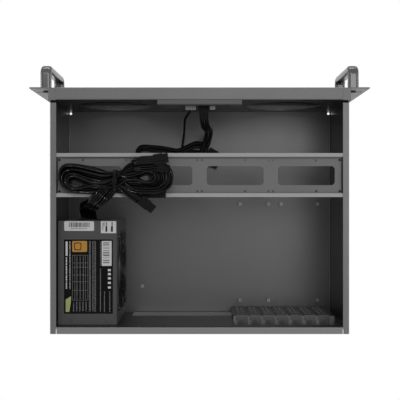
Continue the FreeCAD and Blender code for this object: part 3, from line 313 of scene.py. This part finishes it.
def wells_tree():
    """A tree that sets hollow square wells out in a grid."""
    tree = bpy.data.node_groups.new("terminal_wells", "GeometryNodeTree")
    for name, kind in (("Columns", "Int"), ("Rows", "Int"), ("Width", "Float"), ("Height", "Float"),
                       ("Well", "Float"), ("Finish", "Material")):
        tree.interface.new_socket(name, in_out="INPUT", socket_type="NodeSocket" + kind)
    tree.interface.new_socket("Geometry", in_out="OUTPUT", socket_type="NodeSocketGeometry")
    sizes = add(tree, "NodeGroupInput")
    places = add(tree, "GeometryNodeMeshGrid", [(sizes.outputs["Width"], "Size X"),
                                                (sizes.outputs["Height"], "Size Y"),
                                                (sizes.outputs["Columns"], "Vertices X"),
                                                (sizes.outputs["Rows"], "Vertices Y")])
    shape = add(tree, "ShaderNodeCombineXYZ", [(sizes.outputs["Well"], "X"), (sizes.outputs["Well"], "Y")],
                Z=WELL_BLOCK)
    block = add(tree, "GeometryNodeMeshCube", [(shape.outputs["Vector"], "Size")])
    normal = add(tree, "GeometryNodeInputNormal")
    upward = add(tree, "ShaderNodeSeparateXYZ", [(normal.outputs["Normal"], "Vector")])
    top_face = add(tree, "FunctionNodeCompare", [(upward.outputs["Z"], "A")], B=0.9,
                   set_operation="GREATER_THAN")
    rim = add(tree, "GeometryNodeExtrudeMesh", [(block.outputs["Mesh"], "Mesh"),
                                                (top_face.outputs["Result"], "Selection")], Offset_Scale=0.0)
    mouth = add(tree, "GeometryNodeScaleElements", [(rim.outputs["Mesh"], "Geometry"),
                                                    (rim.outputs["Top"], "Selection")], Scale=WELL_MOUTH)
    hollow = add(tree, "GeometryNodeExtrudeMesh", [(mouth.outputs["Geometry"], "Mesh"),
                                                   (rim.outputs["Top"], "Selection")],
                 Offset_Scale=-WELL_DEPTH)
    spread = add(tree, "GeometryNodeInstanceOnPoints", [(places.outputs["Mesh"], "Points"),
                                                        (hollow.outputs["Mesh"], "Instance")])
    whole = add(tree, "GeometryNodeRealizeInstances", [(spread.outputs["Instances"], "Geometry")])
    finished = add(tree, "GeometryNodeSetMaterial", [(whole.outputs["Geometry"], "Geometry"),
                                                     (sizes.outputs["Finish"], "Material")])
    add(tree, "NodeGroupOutput", [(finished.outputs["Geometry"], "Geometry")])
    return tree


WELLS = wells_tree()


def terminal_wells(name, start, reach, heading, tilt, counts, pitches, well):
    """The wells on a plug's mating face, which lies at reach from the plug's start, along its heading.

    counts, pitches and well are the columns and rows, the distances between them and a well's width."""
    holder = bpy.data.objects.new(name + "_grid", bpy.data.meshes.new(name + "_grid"))
    bpy.context.scene.collection.objects.link(holder)
    grid = holder.modifiers.new("wells", "NODES")
    grid.node_group = WELLS
    wide, high = (pitch * (count - 1) for pitch, count in zip(pitches, counts))
    values = {"Columns": counts[0], "Rows": counts[1], "Width": wide / 1000,
              "Height": max(high, 0.001) / 1000, "Well": well / 1000, "Finish": MATERIALS["plug_nylon"]}
    for item in WELLS.interface.items_tree:
        if item.name in values:
            grid[item.identifier] = values[item.name]
    bpy.context.view_layer.update()
    evaluated = holder.evaluated_get(bpy.context.evaluated_depsgraph_get())
    mesh = bpy.data.meshes.new_from_object(evaluated)
    bpy.data.objects.remove(holder)
    turn, dip = math.radians(heading), math.radians(tilt)
    across = Vector((math.cos(turn), math.sin(turn), 0.0))
    ahead = Vector((-math.sin(turn) * math.cos(dip), math.cos(turn) * math.cos(dip), -math.sin(dip)))
    up = across.cross(ahead)
    centre = place(*start) + ahead * (reach / 1000)
    mesh.transform(Matrix.Translation(centre) @ Matrix((-across, up, ahead)).transposed().to_4x4())
    mesh.name = name
    made = bpy.data.objects.new(name, mesh)
    bpy.context.scene.collection.objects.link(made)
    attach(made, "case")
    return made


# each plug's wells, which its cords end at
ON_PLUG = {
    "main_plug": [terminal_wells("main_plug_wells", (73.3, 141, 179.3), 15.6, 0, 0, (12, 2), (4.3, 4.95),
                                 3.2)],
    "cpu_plug": [terminal_wells("cpu_plug_wells", (83.5, 158.5, 192.5), 24, 51, 12, (4, 2), (3.0, 3.9),
                                2.5)],
    "drive_plugs": [terminal_wells("drive_plug_wells_a", (64, 103.5, 192), 20, 98, 0, (4, 1), (3.1, 0), 2.3),
                    terminal_wells("drive_plug_wells_b", (60, 113.5, 190), 18, 80, 0, (4, 1), (2.6, 0), 2.0)],
    "usb_plug": [terminal_wells("usb_plug_wells", (-11, 86.5, 7), 24, 62, 0, (10, 2), (2.45, 4.4), 1.9)],
    "panel_plugs": [],
}


# ---- the cable harness --------------------------------------------------------------------
# from the power supply's outlet up through the neck, three times through the tied waist, and to a plug
NECK = [Vector(p) for p in (
    (163.5, 190.8, 120), (164.5, 180, 120.5), (165.5, 170.5, 129), (163, 167, 146), (157, 167.5, 164),
    (147, 163.5, 180.5), (137.5, 155.0, 187.4), (127.8, 145, 187.6))]


def beside(route, across, up):
    """A route that runs beside another, shifted square to it at each of its points."""
    shifted = []
    for k, p in enumerate(route):
        ahead = (route[min(k + 1, len(route) - 1)] - route[max(k - 1, 0)]).normalized()
        side = Vector((1, -0.8 * k / (len(route) - 1), 0))
        side = (side - ahead * ahead.dot(side)).normalized()
        shifted.append(p + side * across + ahead.cross(side) * up)
    return shifted


def between(outer, inner, inset, heights):
    """Points of a turn of the hank: some way from its outer to its inner course, at changing height."""
    count = len(outer) - 1
    return [Vector((a[0] + (b[0] - a[0]) * inset, a[1] + (b[1] - a[1]) * inset,
                    heights[0] + (heights[1] - heights[0]) * k / count))
            for k, (a, b) in enumerate(zip(outer, inner))]


# the hank's courses seen from above, as x and distance behind the ear face in mm
RIGHT_OUTER = [(104, 144.5), (88, 149.5), (70, 151), (53, 149), (41, 142), (36.5, 130), (40, 115),
               (52, 106.5), (66, 104), (82, 104), (97, 109), (108, 118)]
RIGHT_INNER = [(104, 129), (97, 126), (90, 127), (83, 132), (76, 135), (69.3, 132.3), (69.3, 126.3),
               (74.5, 123.2), (83, 125.5), (92, 131.5), (100, 133), (108, 130)]
LEFT_OUTER = [(131, 121), (146, 115.5), (162, 112), (178, 109.5), (192, 110), (199, 119), (199, 131),
              (192, 141), (179, 149), (162, 150), (146, 149.5), (132, 147)]
LEFT_INNER = [(131, 141), (146, 143.5), (157, 140.5), (166, 134.8), (174, 131.8), (181, 134.3), (182, 140.5),
              (176, 144.8), (168, 142.5), (158, 137.5), (146, 135), (132, 138)]
WAIST_X, WAIST_Y, WAIST_HALF = 118.5, 133.0, 12.5    # the tied waist's middle, and half its width
LOW, HIGH = 171.0, 194.5            # heights of the hank's lowest and highest wire
FIRST_LOW, LAST_HIGH = 181.0, 192.0    # the first turn starts above the one, the last below the other
MAIN_END, FOLDED_END = 190.0, 176.0    # heights at which the last turn ends
FOLD = (-90, -54, -18, 18, 54, 90)     # degrees round the half circle of a fold
FOLD_X, FOLD_Z, FOLD_RADIUS = 88, 185.8, 7.2    # the fold before the plugs, seen from the side
FOLD_IN, FOLD_AWAY = (82.5, 178.6), (81.5, 193.1)    # x and height of the points before and after it
FOLD_START = 7                      # the last turn's point from which a wire goes into the fold
PLUG_STEP, CPU_STEP = 3.0, 4.0      # distance between neighbouring wires at the plugs
CPU_ACROSS = Vector((0.62, 0.78, 0))    # the direction in which the cpu wires lie side by side
PLUG_BACK = {
    "cable_main": [(88, 144, 180.2), (80, 145.5, 180.2), (74, 147.5, 180)],
    "cable_cpu": [(110, 139, 189.5), (101, 146.2, 191.5), (92, 152.6, 192.6), (84, 158.2, 192.5)],
    "cable_drive_a": [(78, 104.5, 193.0), (70, 104.0, 192.5), (62, 103.4, 192.1)],
    "cable_drive_b": [(72, 116, 192.0), (65, 114.6, 191), (58, 113.2, 190.2)],
}
PLUG_BACK["cable_drive_c"] = PLUG_BACK["cable_drive_b"]
PLUG_BACK["cable_card"] = PLUG_BACK["cable_drive_a"]
# each cable: its place in the neck, its number of wires, their thickness and distance from its middle
CABLES = {
    "cable_main": ((-6.2, -2.9), 6, 3.9, 3.1),
    "cable_cpu": ((2.6, -4.4), 4, 3.6, 2.1),
    "cable_card": ((0.3, 4.8), 4, 3.4, 2.2),
    "cable_drive_a": ((8.3, 0.6), 3, 2.9, 1.7),
    "cable_drive_b": ((-6.4, 4.8), 3, 2.9, 1.7),
    "cable_drive_c": ((6.9, 6.1), 3, 2.9, 1.7),
}
WIRE_TOTAL = sum(c[1] for c in CABLES.values())
rng = random.Random(11)
even_shares = [k / (WIRE_TOTAL - 1) for k in range(WIRE_TOTAL)]
# each wire's share of the way inwards and upwards, shuffled anew for each of the three passes
insets = {turn: rng.sample(even_shares, WIRE_TOTAL) for turn in range(3)}
levels = {turn: rng.sample(even_shares, WIRE_TOTAL) for turn in range(3)}


def height(turn, wire, low=LOW, high=HIGH):
    """A wire's height in a turn of the hank."""
    return low + (high - low) * levels[turn][wire]


def jitter(points, amount):
    """The points, each moved sideways at random by up to an amount."""
    return [p + Vector((rng.uniform(-amount, amount), rng.uniform(-amount, amount), 0)) for p in points]


def at_waist(share, z):
    """A point in the tied waist, at a share of its half width."""
    return Vector((WAIST_X, WAIST_Y + WAIST_HALF * share, z))


def folded(start, end):
    """Points of the round fold that turns a wire back over itself before its plug."""
    across = [start.y + (end.y - start.y) * share / 7 for share in range(8)]
    arc = [Vector((FOLD_X + FOLD_RADIUS * math.cos(math.radians(turn)), y,
                   FOLD_Z + FOLD_RADIUS * math.sin(math.radians(turn))))
           for turn, y in zip(FOLD, across[1:])]
    before = Vector((FOLD_IN[0], across[0], FOLD_IN[1]))
    after = Vector((FOLD_AWAY[0], across[7], FOLD_AWAY[1]))
    return [before] + arc + [after]


def wire_route(cable, n, wire):
    """Points of one wire: the neck, the right turn, the left turn, and the way to its plug."""
    neck, count, _, apart = CABLES[cable]
    turn = 2 * math.pi * (n + 0.3) / count
    route = beside(NECK, neck[0] + apart * math.cos(turn), neck[1] + apart * math.sin(turn))
    z_first, z_left, z_last = height(0, wire, FIRST_LOW), height(1, wire), height(2, wire, LOW, LAST_HIGH)
    z_cross = (z_first + z_left) / 2
    right_first, left, right_last = (insets[k][wire] for k in range(3))
    route.append(at_waist(0.2 + 0.7 * right_first, z_first))
    route += jitter(between(RIGHT_OUTER, RIGHT_INNER, right_first, (z_first, z_cross)), 0.7)
    route.append(at_waist(-(1 - 0.9 * left), z_cross))
    route += jitter(between(LEFT_OUTER, LEFT_INNER, left, (z_left, (z_left + z_last) / 2)), 0.6)
    from_middle = n - (count - 1) / 2
    if cable == "cable_cpu":
        route.append(Vector((WAIST_X, 136 + n, 189.0)))
        return route + [Vector(p) + CPU_ACROSS * (from_middle * CPU_STEP) for p in PLUG_BACK[cable]]
    route.append(at_waist(0.9 - 0.8 * right_last, z_last))
    to_main = cable == "cable_main"
    heights = (z_last, MAIN_END if to_main else FOLDED_END)
    last = jitter(between(RIGHT_OUTER, RIGHT_INNER, right_last, heights), 0.8)
    back = [Vector(p) + Vector((0, from_middle * PLUG_STEP, 0)) for p in PLUG_BACK[cable]]
    if to_main:
        return route + last[:1] + back
    return route + last[:FOLD_START + 1] + folded(last[FOLD_START], back[0]) + back


wire = 0
for cable, (_, count, thick, _) in CABLES.items():
    for n in range(count):
        line = line_of(cable, [place(*p) for p in wire_route(cable, n, wire)], 6)
        made = tube(f"{cable}_wire_{n + 1}", line, thick / 1000, MATERIALS["cable_jacket"])
        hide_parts(cable, "harness_hank")
        wire += 1


# ---- the front leads ----------------------------------------------------------------------
# down from the control board to the floor, and then the courses on the floor seen from above
USB_LEAD = [(-6, 30, 150.5), (-6, 41, 150.5), (-8, 52, 141), (-11.5, 55, 117), (-13.8, 53, 84),
            (-14.6, 53.5, 52), (-13.4, 60, 25), (-10, 71, 12), (-5, 83, 9)]
PANEL_LEAD = [(13, 28, 144), (15, 33, 143.6), (20.5, 38.5, 137), (22, 44.5, 114), (22.6, 46, 83),
              (23.4, 48, 54), (24.4, 54, 27), (26.4, 66, 11), (28.5, 80, 6.5)]
FLOOR_OUT = [(6, 84), (20, 83), (34, 86.5), (50, 87), (66, 89), (80, 90.2)]
FLOOR_FOLD = (91, 82.2)             # middle of the usb leads' fold on the floor
FOLD_REACH = (6.9, 9.4)             # its radius for the one lead and the other
FOLD_LEAD_IN = 5                    # distance of the points beside it from the fold's middle
FLOOR_LOW, FLOOR_MID, FLOOR_HIGH = 4.4, 7.5, 10.6    # heights before, in and after the fold
FLOOR_RISE = 3.1                    # half of what the leads climb in it
CLOSER = 0.8                        # the usb leads' distance on the floor, as a share of that above
PANEL_STEP = 1.5                    # distance between the panel leads on the floor, and between heights
PANEL_LOW = 9.0                     # height of the lowest panel lead there
FLOOR_BACK = [(80, 76.2), (66, 77), (50, 79.5), (34, 83), (20, 76), (8, 70), (-2, 70),
              (-9, 75), (-11, 81), (-11.5, 85.5)]
PANEL_TURN = [(40, 84.5), (56, 81.5), (70, 78.5), (84, 77), (93, 78.2), (98.5, 82), (98.5, 87.5), (93, 91.2),
              (82, 92.5)]
USB_APART, USB_THICK = 3.3, 6.2     # each usb lead's distance from their middle, and its thickness
PANEL_APART, PANEL_THICK = 1.1, 1.7    # the same of the three panel leads


def lead(name, route, thick, node):
    """One front lead along a route, which takes the place of its node and of the folded bundle."""
    line = line_of(name, [place(*p) for p in route], 8)
    made = tube(name, line, thick / 1000, MATT_JACKET)
    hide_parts(node, "lead_hank")


for k, across in enumerate((-USB_APART, USB_APART)):
    route = [Vector((x + across, y, z)) for x, y, z in USB_LEAD]
    route += [Vector((x, y + across * CLOSER, FLOOR_LOW)) for x, y in FLOOR_OUT]
    middle_x, middle_y = FLOOR_FOLD
    reach = FOLD_REACH[k]
    route.append(Vector((middle_x - FOLD_LEAD_IN, middle_y + reach, FLOOR_LOW)))
    route += [Vector((middle_x + reach * math.cos(math.radians(turn)),
                      middle_y - reach * math.sin(math.radians(turn)), FLOOR_MID + FLOOR_RISE * turn / 90))
              for turn in FOLD]
    route.append(Vector((middle_x - FOLD_LEAD_IN, middle_y - reach, FLOOR_HIGH)))
    route += [Vector((x, y - across * CLOSER, FLOOR_HIGH)) for x, y in FLOOR_BACK]
    lead(f"usb_lead_{k + 1}", route, USB_THICK, "usb_lead")
for k in range(3):
    turn = 2.1 * k
    route = [Vector((x + PANEL_APART * math.cos(turn), y + PANEL_APART * math.sin(turn), z))
             for x, y, z in PANEL_LEAD]
    route += [Vector((x, y + PANEL_STEP * (k - 1), PANEL_LOW + PANEL_STEP * k)) for x, y in PANEL_TURN]
    lead(f"panel_lead_{k + 1}", route, PANEL_THICK, "panel_lead")


# ---- the leads' housings on the control board ----------------------------------------------
def blocks(name, spans, material, slot):
    """Boxes given by their x, distance and z spans in mm, as one piece."""
    corners = [(place(x[0], d[0], z[0]), place(x[1], d[1], z[1])) for x, d, z in spans]
    return piece(name, *plates([[(a[k], b[k]) for k in range(3)] for a, b in corners]), material, slot=slot)


PIN_PITCH = 2.5             # distance between the headers' terminals
blocks("usb_header_housing", [((-13.4, 1.4), (21, 31.5), (146.4, 154.6)),
                              ((-12.6, 0.6), (31.5, 34), (147.2, 153.8)),
                              ((-8.5, -3.5), (24, 33), (154.6, 155.6))],
       MATERIALS["plug_nylon"], "plug_nylon")
blocks("panel_header_housing", [((5.4, 20.4), (20.8, 28.6), (140.6, 145.4))]
       + [((5.6 + PIN_PITCH * k, 7.5 + PIN_PITCH * k), (20.8, 29.0), (145.4, 147.8)) for k in range(6)],
       HEADER_NYLON, "plug_nylon")
blocks("spare_header", [((-22.5, -14.5), (20.7, 28.6), (146.0, 150.0))]
       + [((-22.3 + PIN_PITCH * k, -20.4 + PIN_PITCH * k), (20.7, 29.0), (150.0, 152.4)) for k in range(3)],
       HEADER_NYLON, "plug_nylon")


# ---- stickers on the power supply ---------------------------------------------------------
TOP_Z = 151.2       # height of the casing's top, in mm
FILM = 0.12         # thickness of a label and of each layer of its print, in mm


def print_field(x, d, level=2):
    """A thin plate on the casing's top, level steps of film up."""
    low, high = place(x[0], d[0], TOP_Z + FILM * (level - 1)), place(x[1], d[1], TOP_Z + FILM * level)
    return (low.x, high.x), (low.y, high.y), (low.z, high.z)


def sticker(name, fields, material):
    """A piece of thin plates on the casing's top."""
    piece(name, *plates(fields), material, slot="psu_steel")


def rounded_sticker(name, x, d, radius, material, level=1):
    """A sticker with round corners."""
    outline = []
    for corner, (cx, cy) in enumerate(((x[1] - radius, d[1] - radius), (x[0] + radius, d[1] - radius),
                                       (x[0] + radius, d[0] + radius), (x[1] - radius, d[0] + radius))):
        for n in range(7):
            turn = math.pi / 2 * (corner + n / 6)
            outline.append((cx + radius * math.cos(turn), cy + radius * math.sin(turn)))
    count = len(outline)
    vertices = [place(px, py, TOP_Z + FILM * (level - 1 + top)) for top in (0, 1) for px, py in outline]
    faces = [tuple(range(count))[::-1], tuple(range(count, 2 * count))]
    faces += [(k, (k + 1) % count, count + (k + 1) % count, count + k) for k in range(count)]
    piece(name, vertices, faces, material, slot="psu_steel")


def dashes(x, start, stop, longest=2.4):
    """A broken line of print along the casing's depth."""
    fields, d = [], start
    while d < stop - 0.5:
        length = marks.uniform(0.5, longest)
        fields.append(print_field(x, (d, min(d + length, stop))))
        d += length + marks.uniform(0.3, 0.9)
    return fields


marks = random.Random(4)
rounded_sticker("serial_label", (152.7, 195.8), (190.4, 204.4), 1.8, STICKER_WHITE)
fields, x = [], 159.0
while x < 189.5:
    width = marks.choice((0.5, 0.9, 1.5))
    fields.append(print_field((x, x + width), (192.2, 199.0)))
    x += width + marks.choice((0.5, 0.8, 1.2))
fields += [print_field((x, x + 1.3), (200.6, 201.4)) for x in range(163, 187, 2)]
sticker("serial_bars", fields, PRINT_DARK)
rounded_sticker("check_label", (120.6, 142.8), (190.4, 207.7), 0.6, STICKER_WHITE)
stripes = [print_field(x, (198.0, 205.6)) for x in ((125.4, 128.2), (133.6, 136.2))]
sticker("check_stripes", stripes, PRINT_DARK)
shades = [print_field(x, (191.6, 198.0)) for x in ((125.6, 127.4), (133.8, 135.6), (137.6, 138.8))]
sticker("check_shades", shades + [print_field((139.4, 140.4), (192.6, 203.0))], PRINT_GREY)
rounded_sticker("rating_label", (125.5, 196.1), (216.8, 324.2), 0.8, STICKER_BLACK)
heading = [print_field((190.8, 193.7), (219.6, 240.6))] + dashes((191.6, 193.5), 242.7, 288.7, 3.4)
sticker("rating_heading", heading + dashes((187.0, 188.0), 219.6, 288.7, 3.0), STICKER_WHITE)
outline = [(193.7, 321.4), (188.4, 321.4), (186.0, 306.0), (186.0, 298.6), (189.0, 301.0), (193.7, 303.5)]
corners = [place(px, py, TOP_Z + FILM * level) for level in (1, 2) for px, py in outline]
sides = [(k, (k + 1) % 6, 6 + (k + 1) % 6, 6 + k) for k in range(6)]
piece("rating_yellow", corners, [(5, 4, 3, 2, 1, 0), (6, 7, 8, 9, 10, 11)] + sides, PRINT_YELLOW,
      slot="psu_steel")
rounded_sticker("rating_gold", (162.7, 184.3), (219.0, 234.9), 1.5, PRINT_GOLD, level=2)
rounded_sticker("rating_gold_ring", (171.0, 181.5), (221.2, 232.3), 2.2, PRINT_DARK, level=3)
rounded_sticker("rating_gold_middle", (172.2, 180.3), (222.4, 231.1), 1.8, PRINT_GOLD, level=4)
grid = [print_field((x, x + 0.5), (239.4, 304.8)) for x in (161.4, 164.9, 180.2, 183.7)]
grid += [print_field((161.4, 184.2), (d, d + 0.5)) for d in (239.4, 250.5, 256.6, 268.0, 277.6, 290.0, 304.3)]
for x in (167.6, 172.2, 176.8):
    grid += dashes((x, x + 1.1), 241.5, 303.0, 2.6)
for x in (163.5, 168.0, 172.5, 177.0, 181.5):
    grid += dashes((x, x + 1.3), 307.0, 321.0, 3.6)
sticker("rating_table", grid, PRINT_GREY)
lines = []
for x in (157.4, 158.9, 150.0, 152.0, 154.0):
    lines += dashes((x, x + 1.0), 219.4, 321.4, 3.4)
for x in (142.8, 137.0, 129.4):
    lines += dashes((x, x + 1.2), 259.0 if x > 140 else 292.0, 321.4, 3.0)
sticker("rating_lines", lines + dashes((142.8, 143.8), 220.0, 255.0, 1.6), PRINT_GREY)
sticker("rating_white", [print_field((127.3, 141.5), (219.0, 255.0))], STICKER_WHITE)
bars = ((220.8, 1.0), (222.8, 1.6), (225.6, 0.8), (228.6, 1.2), (232.4, 1.0),
        (235.0, 2.0), (238.4, 2.6), (243.0, 0.8), (246.2, 1.6), (249.2, 1.8))
sticker("rating_bars", [print_field((130.3, 139.6), (d, d + deep), 3) for d, deep in bars], PRINT_GREY)
rows = (259.5, 265.2, 271.4, 278.0, 284.6)
sticker("rating_marks", [print_field((128.4, 132.6), (d, d + 3.2)) for d in rows], STICKER_WHITE)


# ---- stage, light and camera --------------------------------------------------------------
WHITE = (1.0, 1.0, 1.0, 1.0)
FLOOR_GREY = (0.35, 0.35, 0.35, 1.0)    # the floor's own grey, which the object's light falls on
FLOOR_HALF, FLOOR_DROP = 3.0, 0.0005    # half the floor's width, and its distance below the case
ROOM_LIGHT = 0.14                       # strength of the even light from all sides


def white_to_camera(tree, shader, output_kind):
    """Plain white to the camera, to mirrors and through glass, and the given shader to all else."""
    path = add(tree, "ShaderNodeLightPath")
    glow = "ShaderNodeEmission" if output_kind == "ShaderNodeOutputMaterial" else "ShaderNodeBackground"
    white = add(tree, glow, Color=WHITE, Strength=1.0)
    seen = add(tree, "ShaderNodeMath", [(path.outputs["Is Camera Ray"], 0),
                                        (path.outputs["Is Glossy Ray"], 1)], set_operation="MAXIMUM")
    seen = add(tree, "ShaderNodeMath", [(seen.outputs[0], 0), (path.outputs["Is Transmission Ray"], 1)],
               set_operation="MAXIMUM")
    mixed = add(tree, "ShaderNodeMixShader", [(seen.outputs[0], 0), (shader.outputs[0], 1),
                                              (white.outputs[0], 2)])
    add(tree, output_kind, [(mixed.outputs[0], "Surface")])


floor = bpy.data.objects.new("floor", bpy.data.meshes.new("floor"))
square = ((-1, -1), (1, -1), (1, 1), (-1, 1))
floor.data.from_pydata([(x * FLOOR_HALF, y * FLOOR_HALF, -FLOOR_DROP) for x, y in square], [], [(0, 1, 2, 3)])
bpy.context.scene.collection.objects.link(floor)
floor_paint = bpy.data.materials.new("pale_floor")
floor_paint.use_nodes = True
floor_paint.node_tree.nodes.clear()
matt = add(floor_paint.node_tree, "ShaderNodeBsdfDiffuse", Color=FLOOR_GREY)
white_to_camera(floor_paint.node_tree, matt, "ShaderNodeOutputMaterial")
floor.data.materials.append(floor_paint)

world = bpy.data.worlds.new("studio")
bpy.context.scene.world = world
world.use_nodes = True
world.node_tree.nodes.clear()
room = add(world.node_tree, "ShaderNodeBackground", Color=WHITE, Strength=ROOM_LIGHT)
white_to_camera(world.node_tree, room, "ShaderNodeOutputWorld")


def area_light(name, location, target, size, power, glints=None):
    """A lamp that looks at a target; with glints it lights only those pieces, and only their shine."""
    data = bpy.data.lights.new(name, "AREA")
    data.shape = "RECTANGLE"
    data.size, data.size_y = size
    data.energy = power
    lamp = bpy.data.objects.new(name, data)
    lamp.location = location
    lamp.rotation_euler = (Vector(target) - Vector(location)).to_track_quat("-Z", "Y").to_euler()
    if glints:
        lamp.visible_diffuse = False
        lamp.light_linking.receiver_collection = glints
    bpy.context.scene.collection.objects.link(lamp)


cable_pieces = bpy.data.collections.new("cable_pieces")
for made in bpy.context.scene.objects:
    if "_wire_" in made.name:
        cable_pieces.objects.link(made)
area_light("top_softbox", (-0.34, -0.42, 2.2), (-0.1, -0.1, 0.0), (2.1, 0.55), 14.5)
area_light("far_softbox", (0.0, 0.45, 2.6), (0.0, 0.1, 0.0), (1.6, 0.6), 1.5)
for name, x, y, size in (("front_low", 0.0, -1.7, 1.4), ("rear_low", 0.0, 1.7, 1.4),
                         ("left_low", 1.7, 0.0, 1.2), ("right_low", -1.7, 0.0, 1.2)):
    area_light(name, (x, y, 0.1), (0.0, 0.0, 0.1), (size, 0.16), 9.0)
area_light("glint_rear", (0.45, 0.75, 1.7), (0.1, 0.0, 0.18), (0.04, 0.04), 12.0, glints=cable_pieces)
area_light("glint_side", (1.0, 0.1, 1.5), (0.1, 0.0, 0.18), (0.04, 0.04), 9.0, glints=cable_pieces)

CAMERA_HEIGHT = 1.411       # in metres above the frame's floor
LENS = 78.39                # focal length in mm, on a sensor 36 mm wide
camera_data = bpy.data.cameras.new("camera")
camera_data.sensor_width = 36.0
camera_data.lens = LENS
camera_data.shift_x = 0.001
camera_data.shift_y = 0.01
camera = bpy.data.objects.new("camera", camera_data)
camera.location = (0.0, 0.0085, CAMERA_HEIGHT)
camera.rotation_euler = (0.0, 0.0, math.pi)
bpy.context.scene.collection.objects.link(camera)
bpy.context.scene.camera = camera
bpy.context.scene.view_settings.view_transform = "Standard"
